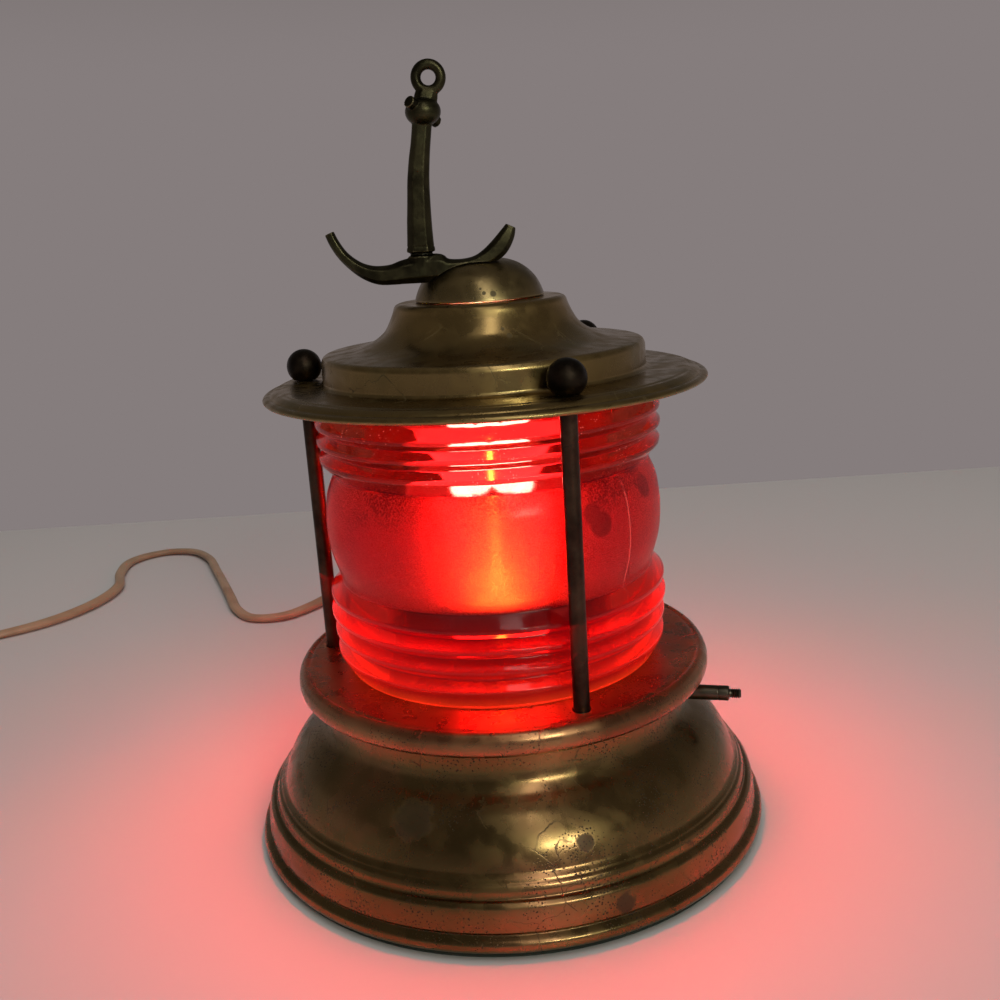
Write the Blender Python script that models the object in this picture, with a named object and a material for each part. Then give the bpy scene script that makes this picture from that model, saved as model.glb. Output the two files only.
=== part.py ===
"""Anchor light: a brass table lamp in the shape of a ship's anchor light.

Metres, +Z up. The origin is the centre of the felt pad's underside, on the table.
The front, with the anchor's broad side, faces -Y.
"""

import math

import bmesh
import bpy
from mathutils import Matrix, Vector

MM = 0.001

# Clearances that all pieces share
GAP = 0.3 * MM
OVERRUN = 2.0 * MM
MERGE_DISTANCE = 0.01 * MM
SHARP_ANGLE = math.radians(32.0)

# Facets round a full turn
FINE = 32
MEDIUM = 20
SMALL = 14
SLIM = 10

# Felt pad and base board
FELT_THICKNESS = 1.0 * MM
FELT_INSET = 1.4 * MM
BOARD_THICKNESS = 1.6 * MM
BOARD_SIDE_CLEARANCE = 0.9 * MM

# Base shell, spun sheet
FOOT_RADIUS = 72.9 * MM
MOULDING_STEP = 7.7 * MM
BELL_STEP = 12.2 * MM
NECK_LAND = 8.0 * MM
SHOULDER_RADIUS = FOOT_RADIUS - MOULDING_STEP
NECK_RADIUS = SHOULDER_RADIUS - BELL_STEP
NECK_MOUTH_RADIUS = NECK_RADIUS - NECK_LAND
MOULDING_HEIGHT = 16.9 * MM
BELL_HEIGHT = 23.3 * MM
NECK_HEIGHT = 2.4 * MM
NECK_ROUND = 0.5 * MM
BASE_WALL = 1.1 * MM
FOOT_LIP_WIDTH = 6.4 * MM
# Foot moulding from the table up: radius as a share of the step from shoulder to foot,
# height as a share of the moulding's height
MOULDING_SHARES = (
    (0.805, 0.0), (0.935, 0.036), (1.0, 0.107), (0.948, 0.189), (0.818, 0.243),
    (0.714, 0.272), (0.727, 0.337), (0.662, 0.568), (0.610, 0.657), (0.506, 0.704),
    (0.390, 0.722), (0.338, 0.769), (0.299, 0.828), (0.260, 0.882), (0.182, 0.929),
    (0.0, 1.0),
)
# The same moulding as the inner side of the sheet follows it
MOULDING_LOOSE_SHARES = (
    (0.935, 0.0), (1.0, 0.107), (0.714, 0.272), (0.662, 0.60), (0.40, 0.74), (0.22, 0.90),
    (0.0, 1.0),
)
# Bell from the shoulder up: radius as a share of the step from neck to shoulder
BELL_SHARES = (
    (0.926, 0.099), (0.811, 0.227), (0.656, 0.365), (0.475, 0.502), (0.303, 0.635),
    (0.156, 0.764), (0.057, 0.888), (0.0, 1.0),
)

# Deck plate, a shallow pan turned upside down, a little wider than the neck
DECK_OVERHANG = 5.2 * MM
DECK_EDGE_WIDTH = 7.7 * MM
DECK_LAND = 17.5 * MM
DECK_RADIUS = NECK_RADIUS + DECK_OVERHANG
DECK_LIP_RADIUS = DECK_RADIUS - DECK_EDGE_WIDTH
DECK_MOUTH_RADIUS = DECK_LIP_RADIUS - DECK_LAND
DECK_HEIGHT = 6.6 * MM
DECK_WALL = 1.2 * MM
# Rolled edge from the lip out and up: radius as a share of the step from lip to edge,
# height as a share of the deck's height
DECK_EDGE_SHARES = (
    (0.0, 0.0), (0.45, 0.0), (0.818, 0.136), (0.948, 0.197), (1.0, 0.333),
    (0.974, 0.576), (0.922, 0.818), (0.844, 0.939), (0.714, 1.0),
)
DECK_LOOSE_SHARES = (
    (0.0, 0.0), (0.50, 0.0), (0.92, 0.16), (1.0, 0.333), (0.95, 0.82), (0.86, 1.0),
)

# Tie rods, which stand on a circle inside the deck's edge, and their nuts
ROD_COUNT = 3
ROD_INSET = 8.27 * MM
ROD_CIRCLE_RADIUS = DECK_RADIUS - ROD_INSET
ROD_RADIUS = 2.085 * MM
FIRST_ROD_AZIMUTH = math.radians(-68.1)
BALL_RADIUS = 4.75 * MM
BALL_FLAT_RADIUS = 3.1 * MM
BALL_THREAD_DEPTH = 5.5 * MM
BALL_LATITUDES = 6
ROD_NUT_FLATS = 8.7 * MM
ROD_NUT_HEIGHT = 2.2 * MM

# Globe, pressed glass, which stands inside the rods
GLOBE_HEIGHT = 76.5 * MM
GLOBE_ROD_CLEARANCE = 0.845 * MM
RIB_DEPTH = 3.5 * MM
GLOBE_WALL = 4.0 * MM
GLOBE_RADIUS = ROD_CIRCLE_RADIUS - ROD_RADIUS - GLOBE_ROD_CLEARANCE
GLOBE_GROOVE_RADIUS = GLOBE_RADIUS - RIB_DEPTH
GLOBE_BORE_RADIUS = GLOBE_GROOVE_RADIUS - GLOBE_WALL
# Four ribs at the foot, a barrel and three ribs at the top, each rib with a narrow land:
# radius as a share of the step from groove to widest rib, height as a share of the globe's
GLOBE_SHARES = (
    (0.0, 0.0), (0.77, 0.059), (0.77, 0.072), (0.03, 0.102), (0.86, 0.132), (0.86, 0.145),
    (0.11, 0.174), (1.0, 0.203), (1.0, 0.216), (0.14, 0.244), (0.91, 0.271), (0.91, 0.284),
    (-0.09, 0.323), (0.26, 0.378), (0.57, 0.430), (0.71, 0.482), (0.74, 0.535),
    (0.66, 0.587), (0.46, 0.639), (0.0, 0.692), (-0.26, 0.712), (0.80, 0.762),
    (0.80, 0.775), (0.09, 0.799), (0.89, 0.825), (0.89, 0.838), (0.11, 0.861),
    (0.89, 0.885), (0.89, 0.898), (0.0, 0.933), (0.0, 1.0),
)

# Canopy, spun sheet, whose band stands inside the ball nuts
CANOPY_WALL = 1.1 * MM
BRIM_OVERHANG = 1.2 * MM
BAND_CLEARANCE = 1.98 * MM
BRIM_RADIUS = DECK_RADIUS + BRIM_OVERHANG
BAND_RADIUS = ROD_CIRCLE_RADIUS - BALL_RADIUS - BAND_CLEARANCE
RING_RADIUS = 22.3 * MM
VENT_RADIUS = 14.0 * MM
BRIM_DROP = 1.7 * MM
BRIM_THICKNESS = 1.4 * MM
BAND_HEIGHT = 6.9 * MM
CONE_HEIGHT = 12.7 * MM
# Flanged edge of the brim: radius as a share of the step from band to brim, height as a
# share of the step from the edge's foot to the brim's top
BRIM_SHARES = (
    (0.969, 0.0), (1.0, 0.19), (0.975, 0.39), (0.914, 0.548), (0.864, 0.548),
    (0.827, 0.71), (0.753, 0.90), (0.0, 1.0),
)
BRIM_LOOSE_SHARES = (
    (0.895, 0.0), (0.83, 0.25), (0.77, 0.45), (0.72, 0.548),
)
# Shoulder, cone and top ring above the band: radius as a share of the step from ring to
# band, height as a share of the cone's height
CONE_SHARES = (
    (0.99, 0.0), (0.957, 0.032), (0.775, 0.071), (0.584, 0.110), (0.440, 0.173),
    (0.306, 0.268), (0.182, 0.425), (0.110, 0.606), (0.057, 0.787), (0.029, 0.929),
    (0.0, 0.961), (-0.182, 1.0),
)
CONE_LOOSE_SHARES = (
    (1.0, 0.02), (0.775, 0.071), (0.44, 0.173), (0.182, 0.425), (0.057, 0.787),
    (0.0, 0.97), (-0.182, 1.0),
)

# Dome cap on the canopy's ring
DOME_RADIUS = 17.2 * MM
DOME_HEIGHT = 10.3 * MM
DOME_WALL = 1.0 * MM
# Dome from foot to crown, as shares of its radius and height
DOME_SHARES = (
    (1.0, 0.0), (0.983, 0.097), (0.936, 0.291), (0.866, 0.485), (0.756, 0.680),
    (0.605, 0.845), (0.419, 0.951), (0.209, 0.990), (0.0, 1.0),
)

# Socket bracket, a hub on three straps
STRAP_WIDTH = 11.0 * MM
STRAP_THICKNESS = 1.0 * MM
STRAP_BEND = 2.0 * MM
EAR_REACH = 5.0 * MM
LEG_INSET = 1.6 * MM
HUB_RADIUS = 15.0 * MM
HUB_HEIGHT = 14.0 * MM
HUB_THICKNESS = 1.6 * MM

# Nipple and lock nut
NIPPLE_RADIUS = 4.8 * MM
NIPPLE_BORE_RADIUS = 3.5 * MM
NIPPLE_TAIL = 0.4 * MM
NIPPLE_RISE = 6.4 * MM
LOCK_NUT_FLATS = 14.0 * MM
LOCK_NUT_HEIGHT = 2.8 * MM

# Lamp socket
CAP_RADIUS = 18.8 * MM
CAP_THROAT_RADIUS = 9.0 * MM
CAP_HEIGHT = 15.1 * MM
CAP_WALL = 0.8 * MM
# Cup of the cap: radius as a share of the step from throat to rim, height of its height
CAP_SHARES = ((0.0, 0.0), (0.56, 0.30), (0.94, 0.70), (1.0, 0.84), (1.0, 1.0))
SHELL_WALL = 0.7 * MM
SHELL_HEIGHT = 37.0 * MM
SHELL_SEAT_DEPTH = 2.0 * MM
SLEEVE_WALL = 0.7 * MM
SLEEVE_DROP = 1.0 * MM
BODY_HEIGHT = 14.0 * MM
SCREW_SHELL_WALL = 0.5 * MM
SCREW_SHELL_RADIUS = 13.8 * MM
SCREW_SHELL_MOUTH = 8.0 * MM
SCREW_SHELL_HEIGHT = 20.0 * MM
CONTACT_RADIUS = 4.0 * MM
CONTACT_THICKNESS = 0.8 * MM
TERMINAL_RADIUS = 2.0 * MM
TERMINAL_HEIGHT = 1.6 * MM
TERMINAL_OFFSET = 10.5 * MM

# Switch shaft
SHAFT_AXIS_HEIGHT = 37.8 * MM
SHAFT_AZIMUTH = math.radians(-14.2)
SHAFT_RADIUS = 2.08 * MM
SHAFT_INNER_END = 6.0 * MM
SHAFT_OUTSTAND = 11.1 * MM
SHAFT_SHOULDER_END = NECK_RADIUS + SHAFT_OUTSTAND
SHAFT_TIP_RADIUS = 1.4 * MM
SHAFT_TIP_LENGTH = 3.2 * MM
SHAFT_CHAMFER = 0.3 * MM

# Bulb
BULB_RADIUS = 23.8 * MM
BULB_HEIGHT = 65.7 * MM
BULB_WALL = 0.9 * MM
BULB_BASE_RADIUS = 13.0 * MM
BULB_BASE_HEIGHT = 22.0 * MM
BULB_BASE_WALL = 0.5 * MM
BULB_BASE_MOUTH = 8.0 * MM
BULB_SEAT_DEPTH = 5.0 * MM
BULB_TIP_HEIGHT = 2.4 * MM
BULB_TIP_RADIUS = 8.6 * MM
BULB_BUTTON_RADIUS = 3.0 * MM
# Envelope from neck to crown, as shares of its widest radius and its height
ENVELOPE_SHARES = (
    (0.512, 0.0), (0.512, 0.10), (0.57, 0.22), (0.70, 0.34), (0.86, 0.46), (0.96, 0.56),
    (1.0, 0.65), (0.97, 0.75), (0.87, 0.85), (0.68, 0.93), (0.40, 0.98), (0.0, 1.0),
)

# Anchor, cast in one piece
CAST_CORNERS = 8
CAST_ROUNDNESS = 0.5
ANCHOR_X = -14.2 * MM
ANCHOR_Y = -7.0 * MM
CROWN_RISE = 5.05 * MM
ARM_SPAN = 48.6 * MM
ARM_RISE = 14.25 * MM
ARM_DEPTH = 5.2 * MM
# Arms from tip to tip, each row an upper and a lower edge point and the depth there:
# places as shares of the span and the rise, depth as a share of the arms' depth
ARM_SHARES = (
    (-0.449, 0.999, -0.497, 0.938, 0.45), (-0.427, 0.827, -0.473, 0.730, 0.60),
    (-0.385, 0.604, -0.435, 0.516, 0.72), (-0.330, 0.449, -0.378, 0.297, 0.82),
    (-0.273, 0.365, -0.317, 0.132, 0.90), (-0.214, 0.342, -0.244, 0.022, 0.96),
    (-0.149, 0.364, -0.163, 0.000, 1.00), (-0.077, 0.442, -0.080, 0.000, 1.00),
    (0.079, 0.507, 0.076, 0.000, 1.00), (0.133, 0.406, 0.141, 0.063, 1.00),
    (0.208, 0.383, 0.221, 0.132, 0.98), (0.274, 0.419, 0.298, 0.181, 0.94),
    (0.330, 0.525, 0.366, 0.251, 0.87), (0.387, 0.693, 0.433, 0.390, 0.78),
    (0.429, 0.857, 0.480, 0.627, 0.64), (0.456, 0.958, 0.503, 0.857, 0.48),
)
SHANK_HEIGHT = 41.6 * MM
SHANK_LEAN = 3.1 * MM
SHANK_WIDTH = 7.3 * MM
SHANK_DEPTH = 5.0 * MM
# Shank from the crown up: height as a share of its height, sideways place as a share of
# its lean, width and depth as shares of its widest
SHANK_SHARES = (
    (0.05, 0.0, 1.0, 1.0), (0.19, 0.0, 1.0, 1.0), (0.24, 0.0, 0.935, 0.97),
    (0.36, 0.04, 0.87, 0.93), (0.48, 0.12, 0.81, 0.90), (0.60, 0.21, 0.77, 0.87),
    (0.72, 0.40, 0.725, 0.84), (0.835, 0.65, 0.68, 0.82), (1.0, 1.0, 0.70, 0.80),
    (1.075, 1.30, 0.80, 0.72), (1.115, 1.50, 0.72, 0.60),
)
BOSS_WIDTH = 9.0 * MM
BOSS_HEIGHT = 7.0 * MM
BOSS_DEPTH = 8.4 * MM
STOCK_RADIUS = 1.5 * MM
STOCK_HALF_LENGTH = 5.6 * MM
STOCK_TURN = math.radians(38.0)
STOCK_TILT = math.radians(24.0)
EYE_RING_RADIUS = 3.1 * MM
EYE_WIRE_RADIUS = 1.3 * MM
EYE_RISE = 7.9 * MM
EYE_SHIFT = 1.9 * MM

# Screw that holds the anchor on the dome
ANCHOR_SCREW_X = -11.0 * MM
ANCHOR_SCREW_RADIUS = 1.3 * MM
ANCHOR_SCREW_REACH = 2.2 * MM
ANCHOR_SCREW_HEAD_RADIUS = 2.4 * MM
ANCHOR_SCREW_HEAD_HEIGHT = 1.6 * MM

# Supply cord, the tapered relief that it leaves the base through, and the lead inside
CORD_RADIUS = 2.2 * MM
CORD_DIAMETER = 2.0 * CORD_RADIUS
CORD_STEP = 10.5 * MM
CORD_EXIT_HEIGHT = 9.0 * MM
CORD_EXIT_AZIMUTH = math.radians(100.0)
CORD_DROP_LENGTH = 30.0 * MM
# The way down to the table, as shares of its length and of its drop
CORD_DROP_SHARES = ((0.25, 0.125), (0.5, 0.5), (0.75, 0.875), (1.0, 1.0))
BUSH_WALL = 0.8 * MM
BUSH_FLANGE_WIDTH = 1.0 * MM
BUSH_FLANGE_LENGTH = 1.2 * MM
RELIEF_ROOT_RADIUS = 4.8 * MM
RELIEF_ROOT_LENGTH = 1.6 * MM
RELIEF_LENGTH = 23.0 * MM
RELIEF_WAIST_RADIUS = 4.2 * MM
LEAD_RADIUS = 1.5 * MM
LEAD_STEP = 4.5 * MM

# Coil of spare cord, four layers that spiral in and out again
COIL_LAYERS = 4
COIL_TURNS_PER_LAYER = 2
COIL_POINTS_PER_TURN = 24
COIL_RADIUS = 29.0 * MM
COIL_PITCH = 5.0 * MM
COIL_CENTRE_X = -300.0 * MM
COIL_CENTRE_Y = 185.0 * MM
FLOOR_CLEARANCE = 0.2 * MM

# Plug
PLUG_CENTRE_X = -378.0 * MM
PLUG_CENTRE_Y = 150.0 * MM
PLUG_LENGTH = 30.0 * MM
PLUG_TAIL_LENGTH = 20.0 * MM
PLUG_TAIL_RADIUS = 3.4 * MM
PLUG_WIDTH = 24.0 * MM
PLUG_THICKNESS = 14.0 * MM
PLUG_CORNERS = 12
PLUG_ROUNDNESS = 0.6
# Plug from cord end to face: length share, width share, thickness share
PLUG_SHARES = (
    (0.0, 0.62, 0.62), (0.12, 0.84, 0.84), (0.42, 0.97, 0.97), (0.9, 1.0, 1.0), (1.0, 0.94, 0.9),
)
BLADE_COUNT = 2
BLADE_SPACING = 12.7 * MM
BLADE_WIDTH = 6.35 * MM
BLADE_THICKNESS = 1.5 * MM
BLADE_LENGTH = 16.0 * MM
BLADE_SEAT_DEPTH = 5.0 * MM

# Levels that follow from the stack
FOOT_Z = FELT_THICKNESS + GAP
SHOULDER_Z = FOOT_Z + MOULDING_HEIGHT
NECK_Z = SHOULDER_Z + BELL_HEIGHT
NECK_TOP_Z = NECK_Z + NECK_HEIGHT
DECK_Z = NECK_TOP_Z + GAP
DECK_TOP_Z = DECK_Z + DECK_HEIGHT
GLOBE_Z = DECK_TOP_Z + GAP
GLOBE_TOP_Z = GLOBE_Z + GLOBE_HEIGHT
BRIM_Z = GLOBE_TOP_Z + GAP
BRIM_FOOT_Z = BRIM_Z - BRIM_DROP
BRIM_TOP_Z = BRIM_Z + BRIM_THICKNESS
BAND_TOP_Z = BRIM_TOP_Z + BAND_HEIGHT
RING_Z = BAND_TOP_Z + CONE_HEIGHT
DOME_Z = RING_Z + GAP
CROWN_Z = DOME_Z + CROWN_RISE
HUB_TOP_Z = HUB_HEIGHT + HUB_THICKNESS
CAP_Z = HUB_TOP_Z + GAP
CAP_TOP_Z = CAP_Z + CAP_HEIGHT
BODY_TOP_Z = CAP_TOP_Z + BODY_HEIGHT
CONTACT_Z = BODY_TOP_Z + GAP
BULB_TIP_Z = CONTACT_Z + CONTACT_THICKNESS + GAP
BULB_BASE_Z = BULB_TIP_Z + BULB_TIP_HEIGHT + GAP
BULB_NECK_Z = BULB_BASE_Z + BULB_BASE_HEIGHT - BULB_SEAT_DEPTH
EAR_Z = DECK_TOP_Z - DECK_WALL - GAP
ROD_NUT_TOP_Z = EAR_Z - STRAP_THICKNESS - GAP
ROD_NUT_Z = ROD_NUT_TOP_Z - ROD_NUT_HEIGHT
ROD_HOLE_RADIUS = ROD_RADIUS + GAP
# The brim falls a little from the band to the rods, so half a gap above its top is enough
BALL_SEAT_Z = BRIM_TOP_Z + 0.5 * GAP
SHELL_RADIUS = CAP_RADIUS - CAP_WALL - GAP
SHELL_Z = CAP_TOP_Z - SHELL_SEAT_DEPTH
SLEEVE_RADIUS = SHELL_RADIUS - SHELL_WALL - GAP
BODY_RADIUS = SLEEVE_RADIUS - SLEEVE_WALL - GAP
FLOOR_CORD_Z = CORD_RADIUS + FLOOR_CLEARANCE
PLUG_Z = 0.5 * PLUG_THICKNESS

# Places along the cord that are hand-chosen, on the table and up to the plug: x, y and
# height over the cord's rest on the table
CORD_ROUTE = (
    (-25.5 * MM, 149.0 * MM, 0.0), (-30.5 * MM, 170.0 * MM, 0.0),
    (-43.0 * MM, 192.0 * MM, 0.0), (-61.0 * MM, 200.0 * MM, 0.0),
    (-76.0 * MM, 193.0 * MM, 0.0), (-86.0 * MM, 179.0 * MM, 0.0),
    (-97.0 * MM, 168.5 * MM, 0.0), (-111.0 * MM, 169.0 * MM, 0.0),
    (-121.0 * MM, 181.0 * MM, 0.0), (-128.0 * MM, 199.0 * MM, 0.0),
    (-136.0 * MM, 220.0 * MM, 0.0), (-145.0 * MM, 243.0 * MM, 0.0),
    (-154.0 * MM, 265.0 * MM, 0.0), (-167.0 * MM, 281.0 * MM, 0.0),
    (-185.0 * MM, 283.0 * MM, 0.0), (-197.0 * MM, 269.0 * MM, 0.0),
    (-196.0 * MM, 247.0 * MM, 0.0), (-190.0 * MM, 224.0 * MM, 0.0),
    (-195.0 * MM, 199.0 * MM, 0.0), (-212.0 * MM, 177.0 * MM, 0.0),
    (-242.0 * MM, 162.0 * MM, 0.0), (-277.0 * MM, 156.3 * MM, 0.0),
)
# The same from the coil to the plug, height over the table
TAIL_ROUTE = (
    (-313.0 * MM, 155.6 * MM, 16.6 * MM), (-322.0 * MM, 154.0 * MM, 13.4 * MM),
    (-331.0 * MM, 151.6 * MM, 8.8 * MM),
)
# Lead inside the base: share of the way from the lamp's axis to the bush, and height
LEAD_ROUTE = (
    (0.80, 8.4 * MM), (0.58, 6.8 * MM), (0.37, 6.2 * MM), (0.185, 6.2 * MM),
    (0.092, 6.4 * MM), (0.040, 7.6 * MM), (0.014, 9.8 * MM), (0.0015, 13.0 * MM),
    (0.0, 20.0 * MM),
)


def clear_scene():
    """Take away whatever the scene holds."""
    for item in list(bpy.data.objects):
        bpy.data.objects.remove(item, do_unlink=True)


def finish(name, colour, roughness, metallic, alpha=1.0, glow=0.0):
    """A Principled material with one plain colour."""
    material = bpy.data.materials.new(name)
    material.use_nodes = True
    inputs = material.node_tree.nodes["Principled BSDF"].inputs
    inputs["Base Color"].default_value = (*colour, 1.0)
    inputs["Roughness"].default_value = roughness
    inputs["Metallic"].default_value = metallic
    inputs["Alpha"].default_value = alpha
    inputs["Emission Color"].default_value = (*colour, 1.0)
    inputs["Emission Strength"].default_value = glow
    return material


def place_in_scene(name, mesh, material):
    """An object round a mesh, shaded smooth but for its sharp edges."""
    mesh.materials.append(material)
    mesh.shade_smooth()
    mesh.set_sharp_from_angle(angle=SHARP_ANGLE)
    thing = bpy.data.objects.new(name, mesh)
    bpy.context.collection.objects.link(thing)
    return thing


def solid_from(name, shape, material):
    """Close a bmesh into an object, with its faces pointing out."""
    bmesh.ops.remove_doubles(shape, verts=shape.verts, dist=MERGE_DISTANCE)
    bmesh.ops.recalc_face_normals(shape, faces=shape.faces)
    mesh = bpy.data.meshes.new(name)
    shape.to_mesh(mesh)
    shape.free()
    return place_in_scene(name, mesh, material)


def spun(name, outline, material, facets=FINE):
    """Turn an outline of radius and height round Z.

    The outline is a closed loop, or runs from the axis back to the axis.
    """
    shape = bmesh.new()
    points = [shape.verts.new((radius, 0.0, height)) for radius, height in outline]
    edges = [
        shape.edges.new(pair)
        for pair in zip(points, points[1:] + points[:1])
        if pair[0].co.x > 0.0 or pair[1].co.x > 0.0
    ]
    bmesh.ops.spin(
        shape, geom=points + edges, cent=(0.0, 0.0, 0.0), axis=(0.0, 0.0, 1.0),
        dvec=(0.0, 0.0, 0.0), angle=math.tau, steps=facets, use_merge=True,
        use_duplicate=False,
    )
    return solid_from(name, shape, material)


def inset(line, wall):
    """Move a line to its left by a wall's thickness, with mitred corners."""
    points = [Vector(point) for point in line]
    sides = []
    for start, end in zip(points, points[1:]):
        along = (end - start).normalized()
        sides.append(Vector((-along.y, along.x)))
    before = [sides[0]] + sides
    after = sides + [sides[-1]]
    moved = []
    for point, first, second in zip(points, before, after):
        mitre = (first + second) / (1.0 + first.dot(second))
        radius = 0.0 if point.x == 0.0 else point.x + mitre.x * wall
        moved.append((radius, point.y + mitre.y * wall))
    return moved


def sheet(outer, wall, loose=None):
    """Outline of spun sheet: its outer line, and back along the inner line."""
    return list(outer) + inset(loose or outer, wall)[::-1]


def stepped(shares, low_radius, high_radius, foot, height):
    """Outline points from shares of a step in radius and of a height."""
    step = high_radius - low_radius
    return [(low_radius + step * across, foot + height * up) for across, up in shares]


def lofted(name, stations, material, corners=CAST_CORNERS, roundness=CAST_ROUNDNESS):
    """Skin a row of stations, each a centre, a half-width vector and a half-depth vector.

    Roundness 1 gives an ellipse, less gives flats with bevelled corners.
    """
    shape = bmesh.new()
    rings = []
    for centre, half_width, half_depth in stations:
        ring = []
        for corner in range(corners):
            angle = math.tau * (corner + 0.5) / corners
            across = math.copysign(abs(math.cos(angle)) ** roundness, math.cos(angle))
            deep = math.copysign(abs(math.sin(angle)) ** roundness, math.sin(angle))
            ring.append(shape.verts.new(centre + half_width * across + half_depth * deep))
        rings.append(ring)
    for lower, upper in zip(rings, rings[1:]):
        for corner in range(corners):
            following = (corner + 1) % corners
            shape.faces.new((lower[corner], lower[following], upper[following], upper[corner]))
    shape.faces.new(rings[0][::-1])
    shape.faces.new(rings[-1])
    return solid_from(name, shape, material)


def tool(thing):
    """Mark an object as a cutter or a piece to be fused, which is no part of the lamp."""
    thing.hide_render = True
    thing.display_type = "WIRE"
    return thing


def trim(thing, other, operation="DIFFERENCE"):
    """Cut another object from this one, or fuse it on."""
    modifier = thing.modifiers.new(other.name, "BOOLEAN")
    modifier.operation = operation
    modifier.solver = "EXACT"
    modifier.object = tool(other)


def rod_shape(name, radius, low, high, material, facets=SLIM):
    """A plain cylinder on the Z axis between two heights."""
    outline = [(0.0, low), (radius, low), (radius, high), (0.0, high)]
    return spun(name, outline, material, facets)


def tube_outline(inner, outer, low, high):
    """Closed outline of a plain tube."""
    return [(outer, low), (outer, high), (inner, high), (inner, low)]


def hexagon(name, flats, low, high, bore, material):
    """A hexagon nut on the Z axis with a round hole through it."""
    corner_radius = 0.5 * flats / math.cos(math.pi / 6)
    nut = rod_shape(name, corner_radius, low, high, material, facets=6)
    hole = rod_shape(name + "_hole", bore, low - OVERRUN, high + OVERRUN, material)
    trim(nut, hole)
    hole.parent = nut
    return nut


def around(radius, azimuth, height=0.0):
    """A place given by its distance from the axis and its direction."""
    return Vector((radius * math.cos(azimuth), radius * math.sin(azimuth), height))


def rod_azimuths():
    """Directions of the tie rods, evenly spaced."""
    return [FIRST_ROD_AZIMUTH + math.tau * index / ROD_COUNT for index in range(ROD_COUNT)]


def rod_holes(name, low, high, material):
    """One cutter with a pin for each tie rod."""
    shape = bmesh.new()
    for azimuth in rod_azimuths():
        middle = around(ROD_CIRCLE_RADIUS, azimuth, 0.5 * (low + high))
        bmesh.ops.create_cone(
            shape, cap_ends=True, segments=SLIM, radius1=ROD_HOLE_RADIUS,
            radius2=ROD_HOLE_RADIUS, depth=high - low, matrix=Matrix.Translation(middle),
        )
    return solid_from(name, shape, material)


def lying_pin(name, radius, inner, outer, azimuth, height, material):
    """A cylinder that points out from the lamp's axis."""
    pin = rod_shape(name, radius, inner, outer, material, SMALL)
    pin.location = (0.0, 0.0, height)
    pin.rotation_euler = (0.0, 0.5 * math.pi, azimuth)
    return pin


def moulding(shares):
    """Foot moulding of the base as radius and height."""
    return stepped(shares, SHOULDER_RADIUS, FOOT_RADIUS, FOOT_Z, MOULDING_HEIGHT)


def base_lines():
    """Outer line of the base shell, and the looser line that its inner side follows."""
    lip = [(FOOT_RADIUS - FOOT_LIP_WIDTH, FOOT_Z)]
    bell = stepped(BELL_SHARES, NECK_RADIUS, SHOULDER_RADIUS, SHOULDER_Z, BELL_HEIGHT)
    neck = [
        (NECK_RADIUS, NECK_TOP_Z - NECK_ROUND),
        (NECK_RADIUS - NECK_ROUND, NECK_TOP_Z),
        (NECK_MOUTH_RADIUS, NECK_TOP_Z),
    ]
    loose_neck = [(NECK_RADIUS, NECK_TOP_Z), (NECK_MOUTH_RADIUS, NECK_TOP_Z)]
    outer = lip + moulding(MOULDING_SHARES) + bell + neck
    loose = lip + moulding(MOULDING_LOOSE_SHARES) + bell[1::2] + loose_neck
    return outer, loose


def height_and_slope(line, radius):
    """Height and slope of an outline that narrows upwards, at one radius."""
    for (outer, low), (inner, high) in zip(line, line[1:]):
        if inner <= radius <= outer:
            slope = (high - low) / (inner - outer)
            return low + slope * (radius - outer), slope
    return line[-1][1], 0.0


def radius_at(line, height):
    """Widest radius that an outline has at one height."""
    found = []
    for (first, low), (second, high) in zip(line, line[1:]):
        if min(low, high) <= height <= max(low, high) and low != high:
            found.append(first + (second - first) * (height - low) / (high - low))
    return max(found)


def make_base(finishes):
    """Base shell with its shaft hole and cord hole, the board that closes it and the felt."""
    outer, loose = base_lines()
    brass = finishes["aged_brass"]
    shell = spun("base_shell", sheet(outer, BASE_WALL, loose), brass)
    inner, outside = NECK_RADIUS - OVERRUN, FOOT_RADIUS + OVERRUN
    trim(shell, lying_pin(
        "shaft_hole", SHAFT_RADIUS + GAP, NECK_MOUTH_RADIUS, SHOULDER_RADIUS, SHAFT_AZIMUTH,
        SHAFT_AXIS_HEIGHT, brass,
    ))
    trim(shell, lying_pin(
        "cord_hole", CORD_RADIUS + BUSH_WALL + 2.0 * GAP, inner, outside, CORD_EXIT_AZIMUTH,
        CORD_EXIT_HEIGHT, brass,
    ))
    board_low = FOOT_Z + BASE_WALL + GAP
    inner_line = inset(loose, BASE_WALL)
    levels = (board_low, board_low + BOARD_THICKNESS)
    board_radius = min(radius_at(inner_line, level) for level in levels) - BOARD_SIDE_CLEARANCE
    board = rod_shape("base_board", board_radius, 0.0, BOARD_THICKNESS, finishes["fibre"], FINE)
    board.location = (0.0, 0.0, board_low)
    rod_shape(
        "felt_pad", FOOT_RADIUS - FELT_INSET, 0.0, FELT_THICKNESS, finishes["felt"], FINE,
    )


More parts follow.
